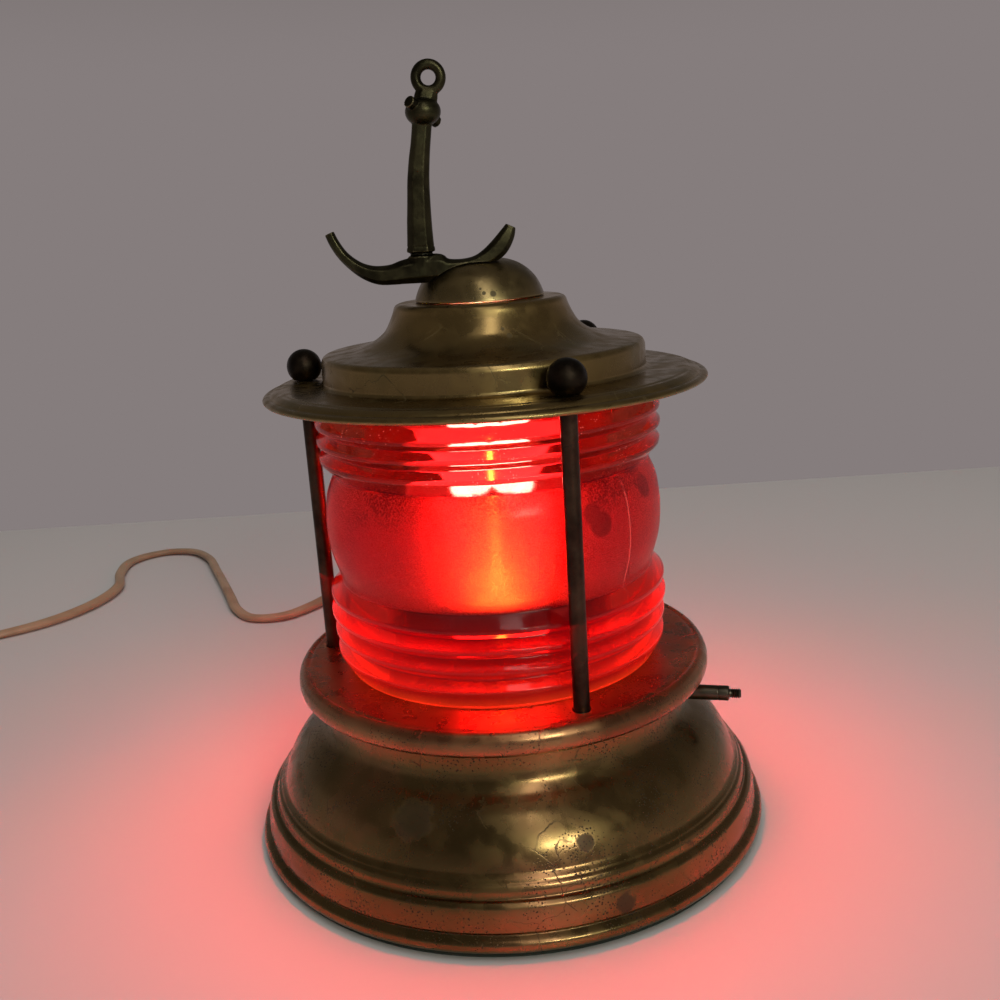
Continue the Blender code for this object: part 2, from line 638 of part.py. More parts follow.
def make_bush(finishes):
    """Rubber bush of the cord hole, flanged inside the base and a tapered relief outside."""
    outer_line, loose = base_lines()
    inner_line = inset(loose, BASE_WALL)
    bore = CORD_RADIUS + GAP
    neck = bore + BUSH_WALL
    flange = neck + BUSH_FLANGE_WIDTH
    # The flange stands clear of the wall's narrowest ring and of its curve to the sides
    rings = (CORD_EXIT_HEIGHT - flange, CORD_EXIT_HEIGHT, CORD_EXIT_HEIGHT + flange)
    wall_radius = min(radius_at(inner_line, ring) for ring in rings)
    seat = math.sqrt(wall_radius**2 - flange**2) - GAP
    back = seat - BUSH_FLANGE_LENGTH
    # The relief's root stands clear of the widest ring that it covers
    low = CORD_EXIT_HEIGHT - RELIEF_ROOT_RADIUS
    root = radius_at(outer_line, max(low, FOOT_Z)) + GAP
    front = root + RELIEF_LENGTH
    outline = [
        (bore, back), (flange, back), (flange, seat), (neck, seat), (neck, root),
        (RELIEF_ROOT_RADIUS, root), (RELIEF_ROOT_RADIUS, root + RELIEF_ROOT_LENGTH),
        (RELIEF_WAIST_RADIUS, root + 2.0 * RELIEF_ROOT_LENGTH), (neck, front), (bore, front),
    ]
    bush = spun("cord_bush", outline, finishes["black_rubber"], SMALL)
    bush.location = (0.0, 0.0, CORD_EXIT_HEIGHT)
    bush.rotation_euler = (0.0, 0.5 * math.pi, CORD_EXIT_AZIMUTH)
    return back, front


def make_deck(finishes):
    """Deck plate, a pan with a rolled edge, holed for the rods."""
    top = [(DECK_MOUTH_RADIUS, DECK_HEIGHT)]
    outer = stepped(DECK_EDGE_SHARES, DECK_LIP_RADIUS, DECK_RADIUS, 0.0, DECK_HEIGHT) + top
    loose = stepped(DECK_LOOSE_SHARES, DECK_LIP_RADIUS, DECK_RADIUS, 0.0, DECK_HEIGHT) + top
    deck = spun("deck_plate", sheet(outer, DECK_WALL, loose), finishes["aged_brass"])
    deck.location = (0.0, 0.0, DECK_Z)
    low = DECK_TOP_Z - DECK_WALL - OVERRUN
    trim(deck, rod_holes("deck_holes", low, DECK_TOP_Z + OVERRUN, finishes["aged_brass"]))


def make_globe(finishes):
    """Globe of pressed glass, ribbed outside and plain inside."""
    outline = stepped(GLOBE_SHARES, GLOBE_GROOVE_RADIUS, GLOBE_RADIUS, 0.0, GLOBE_HEIGHT)
    outline += [(GLOBE_BORE_RADIUS, GLOBE_HEIGHT), (GLOBE_BORE_RADIUS, 0.0)]
    globe = spun("globe", outline, finishes["red_glass"])
    globe.location = (0.0, 0.0, GLOBE_Z)
    globe.rotation_euler = (0.0, 0.0, math.pi / FINE)


def make_canopy(finishes):
    """Canopy: flanged brim, upright band, shoulder, cone and top ring."""
    brim_step = BRIM_TOP_Z - BRIM_FOOT_Z
    vent = [(VENT_RADIUS, CONE_HEIGHT)]
    cone_foot = BAND_TOP_Z - BRIM_FOOT_Z
    brim = stepped(BRIM_SHARES, BAND_RADIUS, BRIM_RADIUS, 0.0, brim_step)
    cone = stepped(CONE_SHARES, RING_RADIUS, BAND_RADIUS, 0.0, CONE_HEIGHT) + vent
    outer = brim + [(radius, cone_foot + height) for radius, height in cone]
    under = stepped(BRIM_LOOSE_SHARES, BAND_RADIUS, BRIM_RADIUS, 0.0, brim_step)
    under.append((BAND_RADIUS - CANOPY_WALL, BRIM_Z - BRIM_FOOT_Z))
    loose = stepped(CONE_LOOSE_SHARES, RING_RADIUS, BAND_RADIUS, cone_foot, CONE_HEIGHT)
    loose.append((VENT_RADIUS, cone_foot + CONE_HEIGHT))
    inner = under + inset(loose, CANOPY_WALL)
    canopy = spun("canopy", outer + inner[::-1], finishes["aged_brass"])
    canopy.location = (0.0, 0.0, BRIM_FOOT_Z)
    high = BRIM_TOP_Z + OVERRUN
    trim(canopy, rod_holes("canopy_holes", BRIM_Z - OVERRUN, high, finishes["aged_brass"]))


def dome_line():
    """Outer line of the dome cap from its foot to its crown."""
    return [(DOME_RADIUS * across, DOME_HEIGHT * up) for across, up in DOME_SHARES]


def anchor_screw_seat():
    """Where the anchor's screw leaves the dome: its place and the dome's tilt there."""
    radius = math.hypot(ANCHOR_SCREW_X, ANCHOR_Y)
    height, slope = height_and_slope(dome_line(), radius)
    azimuth = math.atan2(ANCHOR_Y, ANCHOR_SCREW_X)
    return around(radius, azimuth, DOME_Z + height), (0.0, -math.atan(slope), azimuth)


def seat_on_dome(thing):
    """Stand an object square on the dome where the anchor's screw goes through it."""
    thing.location, thing.rotation_euler = anchor_screw_seat()


def make_dome(finishes):
    """Dome cap with its screw hole, and the screw that holds the anchor."""
    brass = finishes["dark_brass"]
    dome = spun("dome_cap", sheet(dome_line(), DOME_WALL), brass, MEDIUM)
    dome.location = (0.0, 0.0, DOME_Z)
    depth = 2.0 * DOME_WALL
    hole = rod_shape("dome_hole", ANCHOR_SCREW_RADIUS + GAP, -depth, depth, brass)
    seat_on_dome(hole)
    trim(dome, hole)
    head_top = -DOME_WALL - 2.0 * GAP
    head_low = head_top - ANCHOR_SCREW_HEAD_HEIGHT
    outline = [
        (0.0, head_low), (ANCHOR_SCREW_HEAD_RADIUS, head_low),
        (ANCHOR_SCREW_HEAD_RADIUS, head_top), (ANCHOR_SCREW_RADIUS, head_top),
        (ANCHOR_SCREW_RADIUS, ANCHOR_SCREW_REACH), (0.0, ANCHOR_SCREW_REACH),
    ]
    seat_on_dome(spun("anchor_screw", outline, finishes["steel"], SLIM))


def arm_stations():
    """Cross-sections of the anchor's arms from the left tip to the right."""
    stations = []
    for upper_x, upper_z, lower_x, lower_z, deep in ARM_SHARES:
        upper = Vector((ARM_SPAN * upper_x, 0.0, ARM_RISE * upper_z))
        lower = Vector((ARM_SPAN * lower_x, 0.0, ARM_RISE * lower_z))
        depth = Vector((0.0, 0.5 * ARM_DEPTH * deep, 0.0))
        stations.append(((upper + lower) / 2.0, (upper - lower) / 2.0, depth))
    return stations


def shank_stations():
    """Cross-sections of the shank, from inside the arms up to the eye's neck."""
    stations = []
    for up, aside, wide, deep in SHANK_SHARES:
        centre = Vector((SHANK_LEAN * aside, 0.0, SHANK_HEIGHT * up))
        width = Vector((0.5 * SHANK_WIDTH * wide, 0.0, 0.0))
        depth = Vector((0.0, 0.5 * SHANK_DEPTH * deep, 0.0))
        stations.append((centre, width, depth))
    return stations


def make_boss(material):
    """Rounded boss that the stock goes through."""
    shape = bmesh.new()
    bmesh.ops.create_uvsphere(shape, u_segments=SLIM, v_segments=BALL_LATITUDES, radius=0.5)
    boss = solid_from("anchor_boss", shape, material)
    boss.scale = (BOSS_WIDTH, BOSS_DEPTH, BOSS_HEIGHT)
    return boss


def make_eye(material):
    """Ring at the top of the anchor, standing in the plane of its arms."""
    outline = [
        (
            EYE_RING_RADIUS + EYE_WIRE_RADIUS * math.cos(math.tau * side / BALL_LATITUDES),
            EYE_WIRE_RADIUS * math.sin(math.tau * side / BALL_LATITUDES),
        )
        for side in range(BALL_LATITUDES)
    ]
    eye = spun("anchor_eye", outline, material, MEDIUM)
    eye.rotation_euler = (0.5 * math.pi, 0.0, 0.0)
    return eye


def make_anchor(finishes):
    """Cast anchor, saddled on the upper left of the dome and drilled for its screw."""
    bronze = finishes["bronze"]
    anchor = lofted("anchor", arm_stations(), bronze)
    anchor.location = (ANCHOR_X, ANCHOR_Y, CROWN_Z)
    shank = lofted("anchor_shank", shank_stations(), bronze)
    boss_place = Vector((SHANK_LEAN, 0.0, SHANK_HEIGHT))
    boss = make_boss(bronze)
    boss.location = boss_place
    stock = rod_shape(
        "anchor_stock", STOCK_RADIUS, -STOCK_HALF_LENGTH, STOCK_HALF_LENGTH, bronze,
    )
    stock.location = boss_place
    stock.rotation_euler = (0.5 * math.pi - STOCK_TILT, 0.0, -STOCK_TURN)
    eye = make_eye(bronze)
    eye.location = boss_place + Vector((EYE_SHIFT, 0.0, EYE_RISE))
    for piece in (shank, boss, stock, eye):
        piece.parent = anchor
        trim(anchor, piece, "UNION")
    saddle = inset(dome_line(), -GAP)
    saddle = spun("anchor_saddle", saddle + [(0.0, 0.0)], bronze, MEDIUM)
    saddle.location = (0.0, 0.0, DOME_Z)
    trim(anchor, saddle)
    reach = ANCHOR_SCREW_REACH + GAP
    hole = rod_shape("anchor_hole", ANCHOR_SCREW_RADIUS + GAP, -OVERRUN, reach, bronze)
    seat_on_dome(hole)
    trim(anchor, hole)


def make_rods(finishes):
    """Tie rods, the ball nuts on their tops and the hexagon nuts under the deck."""
    rod_top = BALL_SEAT_Z + BALL_THREAD_DEPTH - GAP
    centre_height = math.sqrt(BALL_RADIUS**2 - BALL_FLAT_RADIUS**2)
    lowest = -math.asin(centre_height / BALL_RADIUS)
    bore = ROD_RADIUS + GAP
    ball_outline = [(bore, 0.0)]
    for step in range(BALL_LATITUDES + 1):
        latitude = lowest + (0.5 * math.pi - lowest) * step / BALL_LATITUDES
        height = centre_height + BALL_RADIUS * math.sin(latitude)
        radius = 0.0 if step == BALL_LATITUDES else BALL_RADIUS * math.cos(latitude)
        ball_outline.append((radius, height))
    ball_outline += [(0.0, BALL_THREAD_DEPTH), (bore, BALL_THREAD_DEPTH)]
    for number, azimuth in enumerate(rod_azimuths(), start=1):
        place = around(ROD_CIRCLE_RADIUS, azimuth)
        rod = rod_shape(f"tie_rod_{number}", ROD_RADIUS, ROD_NUT_Z, rod_top, finishes["dark_steel"])
        rod.location = place
        ball = spun(f"ball_nut_{number}", ball_outline, finishes["dark_brass"], SMALL)
        ball.location = place + Vector((0.0, 0.0, BALL_SEAT_Z))
        nut = hexagon(
            f"rod_nut_{number}", ROD_NUT_FLATS, 0.0, ROD_NUT_HEIGHT, ROD_HOLE_RADIUS,
            finishes["steel"],
        )
        nut.location = place + Vector((0.0, 0.0, ROD_NUT_Z))
        nut.rotation_euler = (0.0, 0.0, azimuth)


def strap_line():
    """Upper side of one strap, from its ear in to its leg, down and in to the hub."""
    ear_end = ROD_CIRCLE_RADIUS + EAR_REACH
    leg = NECK_MOUTH_RADIUS - LEG_INSET - STRAP_THICKNESS
    foot = HUB_HEIGHT + 0.5 * (HUB_THICKNESS + STRAP_THICKNESS)
    return [
        (ear_end, EAR_Z), (leg + STRAP_BEND, EAR_Z), (leg, EAR_Z - STRAP_BEND),
        (leg, foot + STRAP_BEND), (leg - STRAP_BEND, foot), (0.8 * HUB_RADIUS, foot),
    ]


def make_straps(material):
    """The three straps of the bracket as one object, to be fused to its hub."""
    line = strap_line()
    outline = line + inset(line, STRAP_THICKNESS)[::-1]
    shape = bmesh.new()
    for azimuth in rod_azimuths():
        turn = Matrix.Rotation(azimuth, 4, "Z")
        near, far = [
            [
                shape.verts.new(turn @ Vector((radius, side * 0.5 * STRAP_WIDTH, height)))
                for radius, height in outline
            ]
            for side in (-1.0, 1.0)
        ]
        count = len(outline)
        shape.faces.new(near)
        shape.faces.new(far[::-1])
        for index in range(count):
            following = (index + 1) % count
            shape.faces.new((near[following], near[index], far[index], far[following]))
    return solid_from("bracket_straps", shape, material)


def make_bracket(finishes):
    """Socket bracket, its nipple and the lock nut under it."""
    steel = finishes["steel"]
    bore = NIPPLE_RADIUS + GAP
    hub = tube_outline(bore, HUB_RADIUS, HUB_HEIGHT, HUB_TOP_Z)
    bracket = spun("socket_bracket", hub, steel, MEDIUM)
    trim(bracket, make_straps(steel), "UNION")
    low = EAR_Z - STRAP_THICKNESS - OVERRUN
    trim(bracket, rod_holes("ear_holes", low, EAR_Z + OVERRUN, steel))
    nut_top = HUB_HEIGHT - GAP
    nut_low = nut_top - LOCK_NUT_HEIGHT
    nipple = tube_outline(
        NIPPLE_BORE_RADIUS, NIPPLE_RADIUS, nut_low - NIPPLE_TAIL, HUB_TOP_Z + NIPPLE_RISE,
    )
    spun("nipple", nipple, steel, SMALL)
    hexagon("lock_nut", LOCK_NUT_FLATS, nut_low, nut_top, bore, steel)


def slot_cutter(name, inner, outer, low, material):
    """Cutter for an open slot that the switch shaft drops into from below."""
    half = SHAFT_RADIUS + GAP
    top = SHAFT_AXIS_HEIGHT + half
    middle = Vector((0.5 * (inner + outer), 0.0, 0.5 * (low + top)))
    size = Vector((outer - inner, 2.0 * half, top - low))
    shape = bmesh.new()
    bmesh.ops.create_cube(shape, size=1.0)
    bmesh.ops.scale(shape, vec=size, verts=shape.verts)
    bmesh.ops.translate(shape, vec=middle, verts=shape.verts)
    cutter = solid_from(name, shape, material)
    cutter.rotation_euler = (0.0, 0.0, SHAFT_AZIMUTH)
    return cutter


def make_socket(finishes):
    """Lamp socket: cap, shell, insulating sleeve, body, screw shell, contact, terminals."""
    brass = finishes["socket_brass"]
    throat = [(NIPPLE_RADIUS + GAP, 0.0)]
    cup = throat + stepped(CAP_SHARES, CAP_THROAT_RADIUS, CAP_RADIUS, 0.0, CAP_HEIGHT)
    cap = spun("socket_cap", sheet(cup, CAP_WALL), brass, MEDIUM)
    cap.location = (0.0, 0.0, CAP_Z)
    shell_top = SHELL_Z + SHELL_HEIGHT
    outline = tube_outline(SHELL_RADIUS - SHELL_WALL, SHELL_RADIUS, SHELL_Z, shell_top)
    shell = spun("socket_shell", outline, brass, MEDIUM)
    low = SHELL_Z - OVERRUN
    trim(shell, slot_cutter("shell_slot", BODY_RADIUS, CAP_RADIUS, low, brass))
    sleeve = spun(
        "socket_sleeve",
        tube_outline(SLEEVE_RADIUS - SLEEVE_WALL, SLEEVE_RADIUS, SHELL_Z, shell_top - SLEEVE_DROP),
        finishes["fibre"], MEDIUM,
    )
    trim(sleeve, slot_cutter("sleeve_slot", SCREW_SHELL_RADIUS, CAP_RADIUS, low, brass))
    body = rod_shape(
        "socket_body", BODY_RADIUS, CAP_TOP_Z, BODY_TOP_Z, finishes["black_plastic"], MEDIUM,
    )
    trim(body, lying_pin(
        "body_bore", SHAFT_RADIUS + GAP, SHAFT_INNER_END - GAP, CAP_RADIUS, SHAFT_AZIMUTH,
        SHAFT_AXIS_HEIGHT, brass,
    ))
    screw_line = [
        (SCREW_SHELL_MOUTH, 0.0), (SCREW_SHELL_RADIUS, 0.0),
        (SCREW_SHELL_RADIUS, SCREW_SHELL_HEIGHT),
    ]
    screw_shell = spun("screw_shell", sheet(screw_line, SCREW_SHELL_WALL), brass, MEDIUM)
    screw_shell.location = (0.0, 0.0, BODY_TOP_Z + GAP)
    contact = rod_shape("centre_contact", CONTACT_RADIUS, 0.0, CONTACT_THICKNESS, brass, SMALL)
    contact.location = (0.0, 0.0, CONTACT_Z)
    make_terminals(brass)


def make_terminals(material):
    """Two terminal screws under the socket's body, one for each core."""
    for number, side in enumerate((-1.0, 1.0), start=1):
        top = CAP_TOP_Z - GAP
        screw = rod_shape(
            f"terminal_screw_{number}", TERMINAL_RADIUS, -TERMINAL_HEIGHT, 0.0, material,
        )
        screw.location = (0.0, side * TERMINAL_OFFSET, top)


def make_shaft(finishes):
    """Switch shaft, which turns in the socket's body and comes out through the bell."""
    tip_end = SHAFT_SHOULDER_END + SHAFT_TIP_LENGTH
    outline = [
        (0.0, SHAFT_INNER_END), (SHAFT_RADIUS, SHAFT_INNER_END),
        (SHAFT_RADIUS, SHAFT_SHOULDER_END - SHAFT_CHAMFER),
        (SHAFT_RADIUS - SHAFT_CHAMFER, SHAFT_SHOULDER_END),
        (SHAFT_TIP_RADIUS, SHAFT_SHOULDER_END),
        (SHAFT_TIP_RADIUS, tip_end - SHAFT_CHAMFER),
        (SHAFT_TIP_RADIUS - SHAFT_CHAMFER, tip_end), (0.0, tip_end),
    ]
    shaft = spun("switch_shaft", outline, finishes["shaft_steel"], SMALL)
    shaft.location = (0.0, 0.0, SHAFT_AXIS_HEIGHT)
    shaft.rotation_euler = (0.0, 0.5 * math.pi, SHAFT_AZIMUTH)


def make_bulb(finishes):
    """Bulb: glass envelope, screw base and insulated tip."""
    line = [(BULB_RADIUS * across, BULB_HEIGHT * up) for across, up in ENVELOPE_SHARES]
    glass = spun("bulb_glass", sheet(line, BULB_WALL), finishes["bulb_glass"], MEDIUM)
    glass.location = (0.0, 0.0, BULB_NECK_Z)
    base_line = [
        (BULB_BASE_MOUTH, 0.0), (BULB_BASE_RADIUS, 0.0), (BULB_BASE_RADIUS, BULB_BASE_HEIGHT),
    ]
    base = spun(
        "bulb_base", sheet(base_line, BULB_BASE_WALL), finishes["socket_brass"], MEDIUM,
    )
    base.location = (0.0, 0.0, BULB_BASE_Z)
    tip_line = [
        (0.0, 0.0), (BULB_BUTTON_RADIUS, 0.0), (BULB_TIP_RADIUS, BULB_TIP_HEIGHT),
        (0.0, BULB_TIP_HEIGHT),
    ]
    tip = spun("bulb_tip", tip_line, finishes["black_plastic"], SMALL)
    tip.location = (0.0, 0.0, BULB_TIP_Z)


def smooth_route(route, step):
    """Points a step apart along a smooth curve through the places of a route."""
    places = [Vector(place) for place in route]
    padded = [2.0 * places[0] - places[1]] + places + [2.0 * places[-1] - places[-2]]
    dense = []
    for before, start, end, after in zip(padded, padded[1:], padded[2:], padded[3:]):
        for part in range(SMALL):
            share = part / SMALL
            dense.append(0.5 * (
                2.0 * start + (end - before) * share
                + (2.0 * before - 5.0 * start + 4.0 * end - after) * share**2
                + (3.0 * start - before - 3.0 * end + after) * share**3
            ))
    dense.append(places[-1])
    lengths = [0.0]
    for start, end in zip(dense, dense[1:]):
        lengths.append(lengths[-1] + (end - start).length)
    count = max(2, round(lengths[-1] / step))
    points = []
    index = 0
    for number in range(count + 1):
        wanted = lengths[-1] * number / count
        while index < len(dense) - 2 and lengths[index + 1] < wanted:
            index += 1
        run = lengths[index + 1] - lengths[index]
        share = (wanted - lengths[index]) / run if run > 0.0 else 0.0
        points.append(dense[index].lerp(dense[index + 1], min(1.0, share)))
    return points


def tube(name, points, radius, resolution, material):
    """A round tube with filled ends along a row of points."""
    curve = bpy.data.curves.new(name, "CURVE")
    curve.dimensions = "3D"
    curve.bevel_depth = radius
    curve.bevel_resolution = resolution
    curve.use_fill_caps = True
    spline = curve.splines.new("POLY")
    spline.points.add(len(points) - 1)
    for target, point in zip(spline.points, points):
        target.co = (*point, 1.0)
    curve.materials.append(material)
    thing = bpy.data.objects.new(name, curve)
    bpy.context.collection.objects.link(thing)
    return thing


def route_length(points):
    """Length of a row of points."""
    return sum((end - start).length for start, end in zip(points, points[1:]))


def coil_points():
    """One unbroken run of loops: spiralling in and out, and climbing where it reverses."""
    turns = COIL_LAYERS * COIL_TURNS_PER_LAYER
    centre = Vector((COIL_CENTRE_X, COIL_CENTRE_Y, FLOOR_CORD_Z))
    points = []
    for number in range(turns * COIL_POINTS_PER_TURN + 1):
        turn = number / COIL_POINTS_PER_TURN
        layer = min(int(turn / COIL_TURNS_PER_LAYER), COIL_LAYERS - 1)
        into_layer = turn - layer * COIL_TURNS_PER_LAYER
        inward = into_layer if layer % 2 == 0 else COIL_TURNS_PER_LAYER - into_layer
        climbs = [
            min(1.0, max(0.0, 2.0 * (turn - reversal * COIL_TURNS_PER_LAYER) + 0.5))
            for reversal in range(1, COIL_LAYERS)
        ]
        angle = -0.5 * math.pi - math.tau * turn
        radius = COIL_RADIUS - COIL_PITCH * inward
        rise = COIL_PITCH * sum(climbs)
        points.append(centre + around(radius, angle, rise))
    straight = Vector((CORD_DIAMETER, 0.0, 0.0))
    return [points[0] + straight] + points + [points[-1] - straight]


def least_gap(points):
    """Least distance between the walls of turns of a coil that lie beside each other."""
    apart = COIL_POINTS_PER_TURN // 2
    least = min(
        (points[first] - points[second]).length
        for first in range(len(points))
        for second in range(first + apart, len(points))
    )
    return least - CORD_DIAMETER


def make_cord(finishes, bush_front):
    """Supply cord: from the bush over the table to its coil, and on to the plug."""
    tan = finishes["tan_plastic"]
    coil = coil_points()
    start = around(bush_front + GAP, CORD_EXIT_AZIMUTH, CORD_EXIT_HEIGHT)
    straight = start + around(CORD_DIAMETER, CORD_EXIT_AZIMUTH)
    end = coil[0] + Vector((GAP, 0.0, 0.0))
    before_end = end + Vector((CORD_DIAMETER, 0.0, 0.0))
    drop = CORD_EXIT_HEIGHT - FLOOR_CORD_Z
    falling = [
        straight + around(share * CORD_DROP_LENGTH, CORD_EXIT_AZIMUTH, -fall * drop)
        for share, fall in CORD_DROP_SHARES
    ]
    on_table = [Vector((x, y, FLOOR_CORD_Z + rise)) for x, y, rise in CORD_ROUTE]
    route = [straight] + falling + on_table + [before_end]
    run = [start] + smooth_route(route, CORD_STEP) + [end]
    tube("cord_run", run, CORD_RADIUS, 2, tan)
    tube("cord_coil", coil, CORD_RADIUS, 1, tan)
    plug_back_x = PLUG_CENTRE_X + 0.5 * PLUG_LENGTH + PLUG_TAIL_LENGTH
    plug_back = Vector((plug_back_x, PLUG_CENTRE_Y, PLUG_Z))
    tail_start = coil[-1] - Vector((GAP, 0.0, 0.0))
    tail_straight = tail_start - Vector((CORD_DIAMETER, 0.0, 0.0))
    tail_end = plug_back + Vector((GAP, 0.0, 0.0))
    before_plug = tail_end + Vector((CORD_DIAMETER, 0.0, 0.0))
    tail_route = [tail_straight, *TAIL_ROUTE, before_plug]
    tail = [tail_start] + smooth_route(tail_route, CORD_DIAMETER) + [tail_end]
    tube("cord_tail", tail, CORD_RADIUS, 2, tan)
    length = route_length(run) + route_length(coil) + route_length(tail)
    print(f"cord length {length / MM:.0f} mm, least gap in the coil {least_gap(coil) / MM:.2f} mm")


def make_lead(finishes, bush_back):
    """Twisted pair inside the base, from the bush up through the nipple to the socket."""
    inside = [(bush_back * share, height) for share, height in LEAD_ROUTE]
    places = [(bush_back - GAP, CORD_EXIT_HEIGHT), *inside, (0.0, CAP_TOP_Z - 2.0 * GAP)]
    route = [around(radius, CORD_EXIT_AZIMUTH, height) for radius, height in places]
    tube("inner_lead", smooth_route(route, LEAD_STEP), LEAD_RADIUS, 1, finishes["tan_plastic"])


def plug_stations():
    """Cross-sections of the plug's body, from its cord end to its face, along -X."""
    stations = []
    for along, wide, thick in PLUG_SHARES:
        centre = Vector((PLUG_LENGTH * (0.5 - along), 0.0, 0.0))
        width = Vector((0.0, 0.5 * PLUG_WIDTH * wide, 0.0))
        depth = Vector((0.0, 0.0, 0.5 * PLUG_THICKNESS * thick))
        stations.append((centre, width, depth))
    return stations


def box(name, size, material):
    """A plain box round its own origin."""
    shape = bmesh.new()
    bmesh.ops.create_cube(shape, size=1.0)
    bmesh.ops.scale(shape, vec=size, verts=shape.verts)
    return solid_from(name, shape, material)


def make_plug(finishes):
    """Plug with a tapered cord relief and two flat blades, seated in slots in its face."""
    plastic = finishes["tan_plastic"]
    body = lofted("plug_body", plug_stations(), plastic, PLUG_CORNERS, PLUG_ROUNDNESS)
    body.location = (PLUG_CENTRE_X, PLUG_CENTRE_Y, PLUG_Z)
    relief_outline = [
        (0.0, 0.0), (CORD_RADIUS + GAP, 0.0), (PLUG_TAIL_RADIUS, -PLUG_TAIL_LENGTH),
        (PLUG_TAIL_RADIUS, -PLUG_TAIL_LENGTH - OVERRUN), (0.0, -PLUG_TAIL_LENGTH - OVERRUN),
    ]
    relief = spun("plug_relief", relief_outline, plastic, SLIM)
    relief.location = (0.5 * PLUG_LENGTH + PLUG_TAIL_LENGTH, 0.0, 0.0)
    relief.rotation_euler = (0.0, 0.5 * math.pi, 0.0)
    relief.parent = body
    trim(body, relief, "UNION")
    face = -0.5 * PLUG_LENGTH
    slot_length = BLADE_SEAT_DEPTH + GAP + OVERRUN
    for number in range(1, BLADE_COUNT + 1):
        aside = BLADE_SPACING * (number - 0.5 * (BLADE_COUNT + 1))
        slot_size = (slot_length, BLADE_THICKNESS + 2.0 * GAP, BLADE_WIDTH + 2.0 * GAP)
        slot = box(f"blade_slot_{number}", slot_size, plastic)
        slot.location = (face + BLADE_SEAT_DEPTH + GAP - 0.5 * slot_length, aside, 0.0)
        slot.parent = body
        trim(body, slot)
        whole = BLADE_LENGTH + BLADE_SEAT_DEPTH
        blade = box(
            f"plug_blade_{number}", (whole, BLADE_THICKNESS, BLADE_WIDTH), finishes["socket_brass"],
        )
        blade.location = (face + BLADE_SEAT_DEPTH - 0.5 * whole, aside, 0.0)
        blade.parent = body


def make_finishes():
    """All materials, by name."""
    return {
        "aged_brass": finish("aged_brass", (0.32, 0.22, 0.10), 0.38, 1.0),
        "dark_brass": finish("dark_brass", (0.22, 0.17, 0.09), 0.42, 1.0),
        "bronze": finish("bronze", (0.14, 0.11, 0.07), 0.5, 0.9),
        "socket_brass": finish("socket_brass", (0.60, 0.45, 0.20), 0.35, 1.0),
        "dark_steel": finish("dark_steel", (0.08, 0.06, 0.05), 0.5, 0.9),
        "shaft_steel": finish("shaft_steel", (0.40, 0.36, 0.28), 0.35, 1.0),
        "steel": finish("steel", (0.45, 0.44, 0.42), 0.4, 1.0),
        "red_glass": finish("red_glass", (0.75, 0.03, 0.02), 0.15, 0.0, alpha=0.6),
        "bulb_glass": finish("bulb_glass", (1.0, 0.85, 0.6), 0.4, 0.0, glow=2.0),
        "fibre": finish("fibre", (0.35, 0.27, 0.18), 0.9, 0.0),
        "felt": finish("felt", (0.05, 0.12, 0.07), 1.0, 0.0),
        "black_rubber": finish("black_rubber", (0.03, 0.03, 0.03), 0.7, 0.0),
        "black_plastic": finish("black_plastic", (0.04, 0.035, 0.03), 0.4, 0.0),
        "tan_plastic": finish("tan_plastic", (0.42, 0.30, 0.19), 0.5, 0.0),
    }


def main():
    """Build the lamp."""
    clear_scene()
    finishes = make_finishes()
    make_base(finishes)
    make_deck(finishes)
    make_globe(finishes)
    make_canopy(finishes)
    make_dome(finishes)
    make_anchor(finishes)
    make_rods(finishes)
    make_bracket(finishes)
    make_socket(finishes)
    make_shaft(finishes)
    make_bulb(finishes)
    bush_back, bush_front = make_bush(finishes)
    make_lead(finishes, bush_back)
    make_cord(finishes, bush_front)
    make_plug(finishes)


main()
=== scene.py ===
"""Anchor light, dressed: brass bell base, ribbed red globe, canopy, anchor, lamp and cord."""

import logging
import math
from dataclasses import dataclass, field
from enum import Enum
from typing import Any, Sequence

import bpy
from mathutils import Matrix, Vector


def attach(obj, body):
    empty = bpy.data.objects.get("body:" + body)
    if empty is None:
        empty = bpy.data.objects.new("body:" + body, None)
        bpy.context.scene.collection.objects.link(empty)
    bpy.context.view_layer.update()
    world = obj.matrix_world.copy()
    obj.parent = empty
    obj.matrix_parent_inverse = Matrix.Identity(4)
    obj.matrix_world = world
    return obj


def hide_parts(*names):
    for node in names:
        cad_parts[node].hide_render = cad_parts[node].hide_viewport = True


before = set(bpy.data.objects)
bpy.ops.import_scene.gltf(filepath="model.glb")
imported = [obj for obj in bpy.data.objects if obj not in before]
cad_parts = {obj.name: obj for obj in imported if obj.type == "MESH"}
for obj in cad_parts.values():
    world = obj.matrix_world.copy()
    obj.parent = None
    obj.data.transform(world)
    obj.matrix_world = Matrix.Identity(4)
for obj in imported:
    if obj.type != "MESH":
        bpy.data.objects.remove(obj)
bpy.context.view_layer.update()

MM = 0.001  # one millimetre in metres
LOG = logging.getLogger("anchor_light")

Pair = tuple[float, float]
Corner = tuple[float, float, float]
Colour = tuple[float, float, float]
Thing = bpy.types.Object
Node = bpy.types.Node
Socket = bpy.types.NodeSocket
Tree = bpy.types.NodeTree

# Directions in degrees and heights in millimetres at which two parts leave the bell.
SHAFT_AZIMUTH, SHAFT_HEIGHT = -14.2, 37.8
CORD_AZIMUTH, CORD_HEIGHT = 100.0, 9.0


class Body(Enum):
    """Bodies of the frame that pieces ride on."""

    LAMP = "lamp"
    SWITCH = "switch"
    BULB = "bulb"
    NUT_1 = "nut_1"
    NUT_2 = "nut_2"
    NUT_3 = "nut_3"


